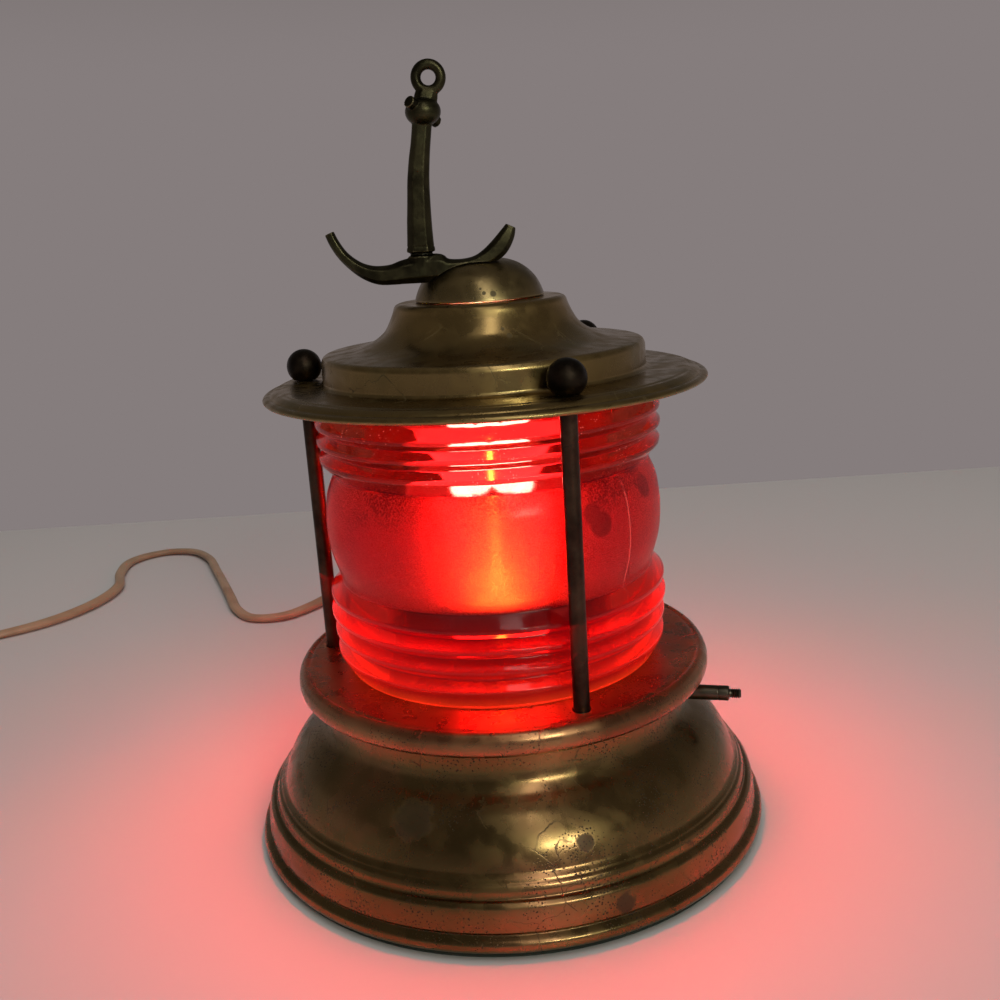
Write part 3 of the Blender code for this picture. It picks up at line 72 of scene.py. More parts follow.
class Route:
    """Smooth lines through given places, in a plane or in space."""

    @staticmethod
    def smooth(places: Sequence[Vector], steps: int) -> list[Vector]:
        """Draw a smooth line through places.

        Args:
            places: that the line goes through.
            steps: number of steps between two places.

        Returns:
            The line's points, with all the places among them.
        """
        padded = [2 * places[0] - places[1], *places, 2 * places[-1] - places[-2]]
        line: list[Vector] = []
        for first, start, end, last in zip(padded, padded[1:], padded[2:], padded[3:]):
            for step in range(steps):
                share = step / steps
                line.append(0.5 * (
                    2 * start + (end - first) * share
                    + (2 * first - 5 * start + 4 * end - last) * share**2
                    + (3 * start - first - 3 * end + last) * share**3
                ))
        line.append(places[-1].copy())
        return line

    @staticmethod
    def even(line: Sequence[Vector], step: float) -> list[Vector]:
        """Walk along a line in even steps.

        Args:
            line: the line's points.
            step: wanted length of a step.

        Returns:
            Points evenly along the line, its ends among them.
        """
        lengths = [0.0]
        for start, end in zip(line, line[1:]):
            lengths.append(lengths[-1] + (end - start).length)
        count = max(2, round(lengths[-1] / step))
        walked: list[Vector] = []
        index = 0
        for number in range(count + 1):
            wanted = lengths[-1] * number / count
            while index < len(line) - 2 and lengths[index + 1] < wanted:
                index += 1
            run = lengths[index + 1] - lengths[index]
            share = (wanted - lengths[index]) / run if run > 0 else 0.0
            walked.append(line[index].lerp(line[index + 1], min(1.0, share)))
        return walked

    @staticmethod
    def length(line: Sequence[Vector]) -> float:
        """Add up how long a line is."""
        return sum((end - start).length for start, end in zip(line, line[1:]))


class Outline:
    """Lines in the plane of radius and height, in millimetres, that pieces are turned from."""

    LONGEST_SETBACK = 0.45  # as a share of either side of a corner
    SHARP = 0.01  # a corner with less setback stays as it is
    THREAD_STEPS = 6  # from one crest of a thread to the next

    @staticmethod
    def rounded(corners: Sequence[Corner], arc: int = 4) -> list[Pair]:
        """Round each corner of a line.

        Args:
            corners: radius, height and how far back the rounding of that corner starts.
            arc: number of steps in each rounding.

        Returns:
            The rounded line.
        """
        line: list[Pair] = [corners[0][:2]]
        for before, corner, after in zip(corners, corners[1:], corners[2:]):
            place = Vector(corner[:2])
            back, ahead = Vector(before[:2]) - place, Vector(after[:2]) - place
            most = Outline.LONGEST_SETBACK
            setback = min(corner[2], most * back.length, most * ahead.length)
            if setback < Outline.SHARP:
                line.append(corner[:2])
                continue
            start = place + back.normalized() * setback
            end = place + ahead.normalized() * setback
            for step in range(arc + 1):
                share = step / arc
                point = start * (1 - share) ** 2 + place * 2 * share * (1 - share) + end * share**2
                line.append((point.x, point.y))
        line.append(corners[-1][:2])
        return line

    @staticmethod
    def curved(points: Sequence[Pair], steps: int = 4) -> list[Pair]:
        """Draw a smooth line through points.

        Args:
            points: radius and height of each.
            steps: number of steps between two points.

        Returns:
            The smooth line, with all the points on it.
        """
        line = Route.smooth([Vector(point) for point in points], steps)
        return [(max(point.x, 0.0), point.y) for point in line]

    @staticmethod
    def threaded(radius: float, depth: float, low: float, high: float, pitch: float) -> list[Pair]:
        """Draw the rolled thread of a screw.

        Args:
            radius: over the crests.
            depth: of the grooves.
            low: height where the thread starts.
            high: height where it ends.
            pitch: from crest to crest.

        Returns:
            A wavy line from low to high.
        """
        steps = Outline.THREAD_STEPS
        count = max(1, round((high - low) / pitch)) * steps
        line: list[Pair] = []
        for step in range(count + 1):
            wave = 0.5 - 0.5 * math.cos(math.tau * step / steps)
            line.append((radius - depth * (1 - wave), low + (high - low) * step / count))
        return line


class Bench:
    """Hand tools that the pieces are made with."""

    WELD = 0.002 * MM  # points closer than this become one
    RELIEF_GAIN = 2.2  # how strongly a ridge or groove shows in the relief
    RELIEF_ROUNDS = 2  # times that the relief is evened out

    @staticmethod
    def clear() -> None:
        """Leave edit mode, with nothing selected."""
        if bpy.context.object and bpy.context.object.mode != "OBJECT":
            bpy.ops.object.mode_set(mode="OBJECT")
        bpy.ops.object.select_all(action="DESELECT")

    @staticmethod
    def pick(*things: Thing) -> Thing:
        """Select things and make the first one active.

        Args:
            things: what is selected.

        Returns:
            The active thing.
        """
        Bench.clear()
        for thing in things:
            thing.select_set(True)
        bpy.context.view_layer.objects.active = things[0]
        return things[0]

    @staticmethod
    def named(name: str) -> Thing:
        """Name the active thing and its mesh.

        Args:
            name: that both get.

        Returns:
            The active thing.
        """
        thing = bpy.context.object
        thing.name = name
        thing.data.name = name
        return thing

    @staticmethod
    def turned(name: str, outline: Sequence[Pair], steps: int = 96) -> Thing:
        """Turn an outline round the lamp's axis.

        Args:
            name: of the piece.
            outline: radius and height in millimetres, closed or from axis to axis.
            steps: facets round a full turn.

        Returns:
            The turned piece, in metres.
        """
        Bench.clear()
        bpy.ops.mesh.primitive_circle_add(vertices=3, radius=MM, enter_editmode=True)
        bpy.ops.mesh.merge(type="CENTER")
        bpy.ops.transform.translate(value=(outline[0][0] * MM, 0.0, outline[0][1] * MM))
        for before, after in zip(outline, outline[1:]):
            reach = ((after[0] - before[0]) * MM, 0.0, (after[1] - before[1]) * MM)
            bpy.ops.mesh.extrude_region_move(TRANSFORM_OT_translate={"value": reach})
        bpy.ops.mesh.select_all(action="SELECT")
        bpy.ops.mesh.spin(steps=steps, angle=math.tau, center=(0, 0, 0), axis=(0, 0, 1))
        Bench.heal()
        return Bench.named(name)

    @staticmethod
    def heal() -> None:
        """In edit mode, merge doubles, turn all faces outwards and go back to object mode."""
        bpy.ops.mesh.select_all(action="SELECT")
        bpy.ops.mesh.remove_doubles(threshold=Bench.WELD)
        bpy.ops.mesh.normals_make_consistent(inside=False)
        bpy.ops.object.mode_set(mode="OBJECT")

    @staticmethod
    def place(thing: Thing, matrix: Matrix) -> Thing:
        """Move a thing and put its place into its mesh.

        Args:
            thing: what is moved.
            matrix: how it is moved.

        Returns:
            The same thing, with its object at the origin.
        """
        Bench.pick(thing)
        thing.matrix_world = matrix @ thing.matrix_world
        bpy.ops.object.transform_apply(location=True, rotation=True, scale=True)
        return thing

    @staticmethod
    def lay(thing: Thing, azimuth: float, height: float) -> Thing:
        """Lay a turned thing down, so that its own axis runs outwards from the lamp's.

        Args:
            thing: what is laid down.
            azimuth: its direction in degrees.
            height: of its axis in millimetres.

        Returns:
            The same thing.
        """
        turn = Matrix.Rotation(math.radians(azimuth), 4, "Z") @ Matrix.Rotation(math.pi / 2, 4, "Y")
        return Bench.place(thing, Matrix.Translation((0, 0, height * MM)) @ turn)

    @staticmethod
    def pin(radius: float, low: float, high: float, steps: int) -> Thing:
        """Turn a plain pin that a hole is cut with.

        Args:
            radius: of the hole.
            low: height of the pin's lower end.
            high: height of its upper end.
            steps: facets round it.

        Returns:
            The pin, on the lamp's axis.
        """
        corners = [(0, low), (radius, low), (radius, high), (0, high)]
        return Bench.turned("hole_cutter", corners, steps)

    @staticmethod
    def path(points: Sequence[Vector], closed: bool = False) -> Thing:
        """Draw a line of straight runs as a curve.

        Args:
            points: in millimetres.
            closed: whether its ends meet.

        Returns:
            The curve, picked.
        """
        Bench.clear()
        bpy.ops.curve.primitive_nurbs_path_add(radius=MM)
        curve = bpy.context.object
        curve.data.splines.clear()
        spline = curve.data.splines.new("POLY")
        spline.points.add(len(points) - 1)
        for point, spot in zip(spline.points, points):
            point.co = (*(spot * MM), 1.0)
        spline.use_cyclic_u = closed
        return Bench.pick(curve)

    @staticmethod
    def finish_mesh(thing: Thing, angle: float = 35.0) -> Thing:
        """Shade a thing smooth and mark its relief.

        Args:
            thing: what is finished.
            angle: in degrees, over which an edge stays sharp.

        Returns:
            The same thing.
        """
        Bench.pick(thing)
        bpy.ops.object.shade_smooth_by_angle(angle=math.radians(angle))
        Bench.mark_relief(thing)
        return thing

    @staticmethod
    def apply(thing: Thing, kind: str, **settings: Any) -> Thing:
        """Add a modifier and apply it.

        Args:
            thing: what it works on.
            kind: of modifier.
            settings: of the modifier, by name.

        Returns:
            The same thing.
        """
        Bench.pick(thing)
        modifier = thing.modifiers.new(kind.title(), kind)
        for key, value in settings.items():
            setattr(modifier, key, value)
        bpy.ops.object.modifier_apply(modifier=modifier.name)
        return thing

    @staticmethod
    def cut(thing: Thing, cutter: Thing) -> Thing:
        """Cut one thing out of another, and throw the cutter away.

        Args:
            thing: what is cut.
            cutter: what is cut out of it.

        Returns:
            The thing that is left.
        """
        Bench.apply(thing, "BOOLEAN", object=cutter, operation="DIFFERENCE", solver="EXACT")
        bpy.data.objects.remove(cutter, do_unlink=True)
        return thing

    @staticmethod
    def join(name: str, *things: Thing) -> Thing:
        """Join things into one mesh.

        Args:
            name: of the joined thing.
            things: what is joined.

        Returns:
            The joined thing.
        """
        Bench.pick(*things)
        bpy.ops.object.join()
        return Bench.named(name)

    @staticmethod
    def copied(thing: Thing, name: str) -> Thing:
        """Copy a thing with a mesh of its own.

        Args:
            thing: what is copied.
            name: of the copy.

        Returns:
            The copy.
        """
        twin = thing.copy()
        twin.data = thing.data.copy()
        twin.name = name
        twin.data.name = name
        bpy.context.collection.objects.link(twin)
        return twin

    @staticmethod
    def mark_relief(thing: Thing) -> None:
        """Store how far each point stands out (over 0.5) or lies back (under 0.5).

        Args:
            thing: whose points are marked, in an attribute that the finishes read.
        """
        mesh = thing.data
        count = len(mesh.vertices)
        lean = [0.0] * count
        near = [0] * count
        spots = [vertex.co.copy() for vertex in mesh.vertices]
        normals = [vertex.normal.copy() for vertex in mesh.vertices]
        pairs = [tuple(edge.vertices) for edge in mesh.edges]
        for first, second in pairs:
            way = (spots[second] - spots[first]).normalized()
            lean[first] -= way.dot(normals[first])
            lean[second] += way.dot(normals[second])
            near[first] += 1
            near[second] += 1
        lean = [value / max(1, number) for value, number in zip(lean, near)]
        for _ in range(Bench.RELIEF_ROUNDS):
            total = list(lean)
            for first, second in pairs:
                total[first] += lean[second]
                total[second] += lean[first]
            lean = [value / (number + 1) for value, number in zip(total, near)]
        layer = mesh.attributes.get("relief") or mesh.attributes.new("relief", "FLOAT", "POINT")
        layer.data.foreach_set(
            "value", [min(1.0, max(0.0, 0.5 + Bench.RELIEF_GAIN * value)) for value in lean],
        )


class Wiring:
    """Nodes of one tree, made and joined in few words."""

    def __init__(self, tree: Tree) -> None:
        """Hold the tree that nodes go into."""
        self.tree = tree

    def add(self, kind: str, **settings: Any) -> Node:
        """Add a node.

        Args:
            kind: of node.
            settings: of the node, by name.

        Returns:
            The node.
        """
        node = self.tree.nodes.new(kind)
        for key, value in settings.items():
            setattr(node, key, value)
        return node

    def feed(self, socket: Socket, value: Any) -> None:
        """Join a socket to another one, or set its number or colour.

        Args:
            socket: that takes the value.
            value: a socket, a number, a vector or a colour.
        """
        if isinstance(value, Socket):
            self.tree.links.new(value, socket)
        elif isinstance(value, tuple) and len(value) == 3 and len(socket.default_value) == 4:
            socket.default_value = (*value, 1.0)
        else:
            socket.default_value = value

    def math(self, operation: str, *values: Any, clamp: bool = False) -> Socket:
        """Work out one number.

        Args:
            operation: what is done with the values.
            values: one or two numbers.
            clamp: whether the result stays between 0 and 1.

        Returns:
            The result.
        """
        node = self.add("ShaderNodeMath", operation=operation, use_clamp=clamp)
        for socket, value in zip(node.inputs, values):
            self.feed(socket, value)
        return node.outputs[0]

    def times(self, first: Any, second: Any) -> Socket:
        """Multiply two numbers."""
        return self.math("MULTIPLY", first, second)

    def plus(self, first: Any, second: Any, clamp: bool = False) -> Socket:
        """Add two numbers."""
        return self.math("ADD", first, second, clamp=clamp)

    def minus(self, first: Any, second: Any, clamp: bool = False) -> Socket:
        """Take the second number from the first."""
        return self.math("SUBTRACT", first, second, clamp=clamp)

    def noise(self, vector: Any, scale: Any, detail: float = 4.0, rough: float = 0.55,
              twist: float = 0.0) -> Socket:
        """Make cloudy noise.

        Args:
            vector: place on the surface.
            scale: how many clouds there are in a metre.
            detail: levels of finer clouds.
            rough: how strong the finer ones are.
            twist: how far the clouds are bent.

        Returns:
            A value from 0 to 1.
        """
        node = self.add("ShaderNodeTexNoise")
        self.feed(node.inputs["Vector"], vector)
        self.feed(node.inputs["Scale"], scale)
        self.feed(node.inputs["Detail"], detail)
        self.feed(node.inputs["Roughness"], rough)
        self.feed(node.inputs["Distortion"], twist)
        return node.outputs["Fac"]

    def cells(self, vector: Any, scale: Any, feature: str = "F1") -> Socket:
        """Make cells.

        Args:
            vector: place on the surface.
            scale: how many cells there are in a metre.
            feature: which distance comes out.

        Returns:
            Distance to the nearest cell's middle, or to its edge.
        """
        node = self.add("ShaderNodeTexVoronoi", feature=feature)
        self.feed(node.inputs["Vector"], vector)
        self.feed(node.inputs["Scale"], scale)
        return node.outputs["Distance"]

    def band(self, value: Any, low: Any, high: Any, first: float = 0.0,
             last: float = 1.0) -> Socket:
        """Go smoothly from one number to another.

        Args:
            value: that is followed.
            low: value where the change starts.
            high: value where it ends.
            first: result before the change.
            last: result after it.

        Returns:
            The result.
        """
        node = self.add("ShaderNodeMapRange", interpolation_type="SMOOTHSTEP")
        for socket, number in zip(node.inputs, (value, low, high, first, last)):
            self.feed(socket, number)
        return node.outputs[0]

    def mix(self, share: Any, first: Any, second: Any,
            blend: str = "MIX") -> Socket:
        """Mix two colours.

        Args:
            share: how much of the second there is.
            first: the colour underneath.
            second: the colour on top.
            blend: how they are mixed.

        Returns:
            The mixed colour.
        """
        node = self.add("ShaderNodeMix", data_type="RGBA", blend_type=blend)
        self.feed(node.inputs[0], share)
        self.feed(node.inputs[6], first)
        self.feed(node.inputs[7], second)
        return node.outputs[2]

    def ramp(self, value: Any, stops: Sequence[tuple[float, Colour]]) -> Socket:
        """Colour a value.

        Args:
            value: from 0 to 1.
            stops: value and colour of each, from low to high.

        Returns:
            The colour.
        """
        node = self.add("ShaderNodeValToRGB")
        self.feed(node.inputs[0], value)
        elements = node.color_ramp.elements
        while len(elements) < len(stops):
            elements.new(0.5)
        for element, (position, colour) in zip(elements, stops):
            element.position = position
            element.color = (*colour, 1.0)
        return node.outputs[0]

    def bump(self, height: Any, strength: float, distance: float) -> Socket:
        """Turn a height into a normal.

        Args:
            height: from 0 to 1.
            strength: share of the effect.
            distance: depth in metres that a height of 1 stands for.

        Returns:
            The normal.
        """
        node = self.add("ShaderNodeBump")
        self.feed(node.inputs["Height"], height)
        self.feed(node.inputs["Strength"], strength)
        self.feed(node.inputs["Distance"], distance)
        return node.outputs["Normal"]

    def split(self, vector: Any) -> tuple[Socket, ...]:
        """Split a vector.

        Args:
            vector: that is split.

        Returns:
            Its three numbers.
        """
        node = self.add("ShaderNodeSeparateXYZ")
        self.feed(node.inputs[0], vector)
        return tuple(node.outputs)

    def joined(self, x: Any, y: Any, z: Any) -> Socket:
        """Join three numbers into a vector.

        Args:
            x: first number.
            y: second number.
            z: third number.

        Returns:
            The vector.
        """
        node = self.add("ShaderNodeCombineXYZ")
        for socket, value in zip(node.inputs, (x, y, z)):
            self.feed(socket, value)
        return node.outputs[0]

    def group(self, effect: "Effect", **values: Any) -> Node:
        """Place a shared effect.

        Args:
            effect: what is placed.
            values: what its inputs get, by name.

        Returns:
            The group's node.
        """
        node = self.add("ShaderNodeGroup", node_tree=effect.build())
        for name, value in values.items():
            self.feed(node.inputs[name], value)
        return node


@dataclass(frozen=True)
class Effect:
    """A surface effect that several materials use: a node group that is built once."""

    name: str
    vectors: tuple[str, ...] = ("Vector",)
    numbers: tuple[str, ...] = ("Scale",)
    outputs: tuple[str, ...] = ("Mask",)

    def build(self) -> Tree:
        """Build the node group, or find it.

        Returns:
            The node group.
        """
        tree = bpy.data.node_groups.get(self.name)
        if tree:
            return tree
        tree = bpy.data.node_groups.new(self.name, "ShaderNodeTree")
        for labels, way, kind in (
            (self.vectors, "INPUT", "NodeSocketVector"),
            (self.numbers, "INPUT", "NodeSocketFloat"),
            (self.outputs, "OUTPUT", "NodeSocketFloat"),
        ):
            for label in labels:
                tree.interface.new_socket(label, in_out=way, socket_type=kind)
        wiring = Wiring(tree)
        entry = wiring.add("NodeGroupInput")
        leave = wiring.add("NodeGroupOutput")
        for label, socket in self.wire(wiring, entry.outputs).items():
            wiring.feed(leave.inputs[label], socket)
        return tree

    def wire(self, wiring: Wiring, entry: Any) -> dict[str, Socket]:
        """Join the nodes of this effect; each kind has its own.

        Args:
            wiring: of the group.
            entry: sockets that bring the group's values in, by name.

        Returns:
            What feeds each output, by name.
        """
        raise NotImplementedError


class CloudyPatches(Effect):
    """Soft patches of a given size, cut off between a low and a high value."""

    def wire(self, wiring: Wiring, entry: Any) -> dict[str, Socket]:
        """Step cloudy noise from nothing at Low to full at High."""
        value = wiring.noise(entry["Vector"], entry["Scale"], 3.0, 0.5, 0.25)
        return {"Mask": wiring.band(value, entry["Low"], entry["High"])}


class SmallPits(Effect):
    """Small dark pits, crowded in some places and missing in others."""

    def wire(self, wiring: Wiring, entry: Any) -> dict[str, Socket]:
        """Sink a pit in each cell, as wide as the crowd there allows."""
        crowd = wiring.noise(entry["Vector"], wiring.times(entry["Scale"], 0.07))
        near = wiring.cells(entry["Vector"], entry["Scale"])
        size = wiring.times(wiring.band(crowd, 0.36, 0.64), entry["Share"])
        return {"Mask": wiring.band(wiring.minus(size, near), 0.0, 0.08)}


class Hairlines(Effect):
    """Fine dark lines where the lacquer has cracked."""

    def wire(self, wiring: Wiring, entry: Any) -> dict[str, Socket]:
        """Draw the edges of bent cells, in some places only."""
        bend = wiring.noise(entry["Vector"], wiring.times(entry["Scale"], 2.0))
        lift = wiring.times(bend, 0.008)
        x, y, z = wiring.split(entry["Vector"])
        moved = wiring.joined(wiring.plus(x, lift), y, wiring.minus(z, lift))
        edge = wiring.cells(moved, entry["Scale"], "DISTANCE_TO_EDGE")
        where = wiring.noise(entry["Vector"], wiring.times(entry["Scale"], 0.9))
        shown = wiring.band(where, 0.52, 0.62)
        return {"Mask": wiring.times(wiring.band(edge, 0.012, 0.0), shown)}


class EdgeWear(Effect):
    """Wear where a surface stands out, and darkening where it lies back."""

    def wire(self, wiring: Wiring, entry: Any) -> dict[str, Socket]:
        """Read the relief, made uneven by noise."""
        rough = wiring.noise(entry["Vector"], 240.0, 4.0, 0.65)
        shift = wiring.times(wiring.minus(rough, 0.5), 0.34)
        relief = wiring.plus(entry["Relief"], shift)
        return {
            "Wear": wiring.times(wiring.band(relief, 0.60, 0.86), entry["Amount"]),
            "Grime": wiring.times(wiring.band(relief, 0.42, 0.20), entry["Amount"]),
        }


class SingleStain(Effect):
    """One spot with an uneven edge, at a stated place."""

    def wire(self, wiring: Wiring, entry: Any) -> dict[str, Socket]:
        """Fade out round the centre, at a distance that noise makes uneven."""
        gap = wiring.add("ShaderNodeVectorMath", operation="DISTANCE")
        wiring.feed(gap.inputs[0], entry["Vector"])
        wiring.feed(gap.inputs[1], entry["Centre"])
        uneven = wiring.minus(wiring.noise(entry["Vector"], 500.0, 3.0), 0.5)
        share = wiring.plus(1.0, wiring.times(uneven, entry["Ragged"]))
        reach = wiring.times(entry["Radius"], share)
        return {"Mask": wiring.band(gap.outputs["Value"], reach, wiring.times(reach, 0.7))}

    def several(self, wiring: Wiring, place: Any, stains: Sequence[tuple[Corner, float]],
                ragged: float = 0.9) -> Any:
        """Lay several stains on a surface.

        Args:
            wiring: of the material.
            place: on the surface.
            stains: place and radius of each, in millimetres.
            ragged: how uneven their edges are.

        Returns:
            A mask, 1 inside the stains.
        """
        total: Any = 0.0
        for centre, radius in stains:
            spot = wiring.group(
                self, Vector=place, Centre=tuple(MM * c for c in centre),
                Radius=radius * MM, Ragged=ragged,
            )
            total = wiring.math("MAXIMUM", total, spot.outputs["Mask"])
        return total


class SpinLines(Effect):
    """Fine rings that spinning leaves on sheet metal."""

    def wire(self, wiring: Wiring, entry: Any) -> dict[str, Socket]:
        """Draw noise out along the rings round the lamp's axis."""
        x, y, z = wiring.split(entry["Vector"])
        radius = wiring.math("SQRT", wiring.plus(wiring.times(x, x), wiring.times(y, y)))
        along = wiring.plus(radius, wiring.times(z, 0.8))
        place = wiring.joined(
            wiring.times(along, entry["Scale"]), wiring.times(x, 6.0), wiring.times(y, 6.0),
        )
        return {"Height": wiring.noise(place, 1.0, 3.0, 0.6)}


CLOUD = CloudyPatches("cloudy_patches", numbers=("Scale", "Low", "High"))
PITS = SmallPits("small_pits", numbers=("Scale", "Share"))
HAIRLINES = Hairlines("hairlines")
EDGE_WEAR = EdgeWear("edge_wear", numbers=("Relief", "Amount"), outputs=("Wear", "Grime"))
STAIN = SingleStain("single_stain", vectors=("Vector", "Centre"), numbers=("Radius", "Ragged"))
SPIN_LINES = SpinLines("spin_lines", outputs=("Height",))


@dataclass(frozen=True)
class Finish:
    """A finish: the record's slot that it belongs to, and its own name."""

    name: str
    slot: str

    def build(self) -> bpy.types.Material:
        """Build the material, or find it.

        Returns:
            The material.
        """
        material = bpy.data.materials.get(self.name)
        if material and material.get("dressed"):
            return material
        material = bpy.data.materials.new(self.name)
        material["dressed"] = True
        material.use_nodes = True
        wiring = Wiring(material.node_tree)
        shader = material.node_tree.nodes["Principled BSDF"]
        place = wiring.add("ShaderNodeTexCoord").outputs["Object"]
        relief = wiring.add("ShaderNodeAttribute", attribute_name="relief").outputs["Fac"]
        self.wire(wiring, shader, place, relief)
        return material

    def wire(self, wiring: Wiring, shader: Node, place: Any, relief: Any) -> None:
        """Join the nodes of this finish; each kind has its own.

        Args:
            wiring: of the material.
            shader: that the nodes feed.
            place: on the surface, in metres.
            relief: over 0.5 where the surface stands out, under it where it lies back.
        """
        raise NotImplementedError


@dataclass(frozen=True)
class AgedMetal(Finish):
    """Brass or bronze that has tarnished, with pits, hairlines and worn edges."""

    dark: Colour = (0.05, 0.04, 0.018)
    middle: Colour = (0.16, 0.115, 0.045)
    bright: Colour = (0.44, 0.32, 0.13)
    tint: Colour = (0.30, 0.14, 0.07)
    tint_share: float = 0.4
    patch: float = 34.0
    pit_scale: float = 1250.0
    pit_share: float = 0.30
    wear: float = 0.8
    roughness: float = 0.20
    spread: float = 0.16
    bump: float = 0.18
    spun: bool = True
    metal: float = 1.0
    fine_share: float = 0.15  # of the fine patches in the tone; the broad ones have the rest
    crack_scale: float = 62.0
    ring_scale: float = 900.0
    dirt: Colour = (0.012, 0.009, 0.006)
    stains: tuple[tuple[Corner, float], ...] = ()

    def wire(self, wiring: Wiring, shader: Node, place: Any, relief: Any) -> None:
        """Mix tarnish, tint, wear, darkening where the surface lies back, pits and hairlines."""
        broad = wiring.group(CLOUD, Vector=place, Scale=self.patch, Low=0.34, High=0.66)
        fine = wiring.group(CLOUD, Vector=place, Scale=self.patch * 6, Low=0.36, High=0.70)
        hue = wiring.group(CLOUD, Vector=place, Scale=self.patch * 1.7, Low=0.48, High=0.74)
        pits = wiring.group(
            PITS, Vector=place, Scale=self.pit_scale, Share=self.pit_share,
        ).outputs["Mask"]
        lines = wiring.group(HAIRLINES, Vector=place, Scale=self.crack_scale).outputs[0]
        edges = wiring.group(EDGE_WEAR, Relief=relief, Vector=place, Amount=self.wear)
        tone = wiring.times(fine.outputs[0], self.fine_share)
        tone = wiring.plus(tone, wiring.times(broad.outputs[0], 1.0 - self.fine_share))
        colour = wiring.mix(tone, self.dark, self.middle)
        share = wiring.times(hue.outputs[0], self.tint_share)
        colour = wiring.mix(share, colour, self.tint)
        colour = wiring.mix(edges.outputs["Wear"], colour, self.bright)
        colour = wiring.mix(edges.outputs["Grime"], colour, tuple(0.35 * c for c in self.dark))
        marks = wiring.math("MAXIMUM", pits, wiring.times(lines, 0.8))
        if self.stains:
            stain = wiring.times(STAIN.several(wiring, place, self.stains), 0.75)
            marks = wiring.math("MAXIMUM", marks, stain)
        colour = wiring.mix(wiring.times(marks, 0.85), colour, self.dirt)
        wiring.feed(shader.inputs["Base Color"], colour)
        rough = wiring.times(fine.outputs[0], self.spread)
        rough = wiring.plus(rough, self.roughness)
        rough = wiring.plus(rough, wiring.times(marks, 0.3), clamp=True)
        wiring.feed(shader.inputs["Roughness"], rough)
        dull = wiring.times(wiring.plus(marks, edges.outputs["Grime"]), 0.5)
        wiring.feed(shader.inputs["Metallic"], wiring.minus(self.metal, dull, clamp=True))
        height = wiring.times(marks, -0.9)
        height = wiring.plus(height, wiring.times(fine.outputs[0], 0.25))
        if self.spun:
            rings = wiring.group(SPIN_LINES, Vector=place, Scale=self.ring_scale)
            height = wiring.plus(height, wiring.times(rings.outputs[0], 0.35))
        wiring.feed(shader.inputs["Normal"], wiring.bump(height, self.bump, 0.12 * MM))


@dataclass(frozen=True)
class PlainMetal(Finish):
    """Clean stamped or turned metal with light tarnish, darker in its corners."""

    colour: Colour = (0.5, 0.4, 0.2)
    shade: Colour = (0.3, 0.22, 0.1)
    roughness: float = 0.3
    metal: float = 1.0

    def wire(self, wiring: Wiring, shader: Node, place: Any, relief: Any) -> None:
        """Mix the two tones and wear, and darken where the surface lies back."""
        patches = wiring.group(CLOUD, Vector=place, Scale=130.0, Low=0.38, High=0.66)
        edges = wiring.group(EDGE_WEAR, Relief=relief, Vector=place, Amount=0.6)
        colour = wiring.mix(patches.outputs[0], self.colour, self.shade)
        light = tuple(min(1.0, 1.3 * c) for c in self.colour)
        colour = wiring.mix(edges.outputs["Wear"], colour, light)
        colour = wiring.mix(edges.outputs["Grime"], colour, tuple(0.25 * c for c in self.shade))
        wiring.feed(shader.inputs["Base Color"], colour)
        shader.inputs["Metallic"].default_value = self.metal
        scuff = wiring.noise(place, 900.0, 3.0)
        rough = wiring.plus(wiring.times(scuff, 0.2), self.roughness - 0.06)
        wiring.feed(shader.inputs["Roughness"], rough)
        wiring.feed(shader.inputs["Normal"], wiring.bump(scuff, 0.15, 0.05 * MM))


@dataclass(frozen=True)
class Moulded(Finish):
    """Plastic, rubber or fibre: one colour with mottling and grain, darker in its corners."""

    colour: Colour = (0.4, 0.3, 0.2)
    shade: Colour = (0.25, 0.18, 0.11)
    roughness: float = 0.5
    grain: float = 1500.0
    depth: float = 0.04

    def wire(self, wiring: Wiring, shader: Node, place: Any, relief: Any) -> None:
        """Mix the two tones, darken where the surface lies back, and add a fine grain."""
        patches = wiring.group(CLOUD, Vector=place, Scale=70.0, Low=0.36, High=0.70)
        edges = wiring.group(EDGE_WEAR, Relief=relief, Vector=place, Amount=0.7)
        grain = wiring.noise(place, self.grain, 3.0, 0.6)
        tone = wiring.times(patches.outputs[0], 0.7)
        tone = wiring.plus(tone, wiring.times(grain, 0.3))
        colour = wiring.mix(tone, self.colour, self.shade)
        colour = wiring.mix(edges.outputs["Grime"], colour, tuple(0.4 * c for c in self.shade))
        wiring.feed(shader.inputs["Base Color"], colour)
        rough = wiring.plus(wiring.times(grain, 0.2), self.roughness - 0.1)
        wiring.feed(shader.inputs["Roughness"], rough)
        wiring.feed(shader.inputs["Normal"], wiring.bump(grain, 0.3, self.depth * MM))


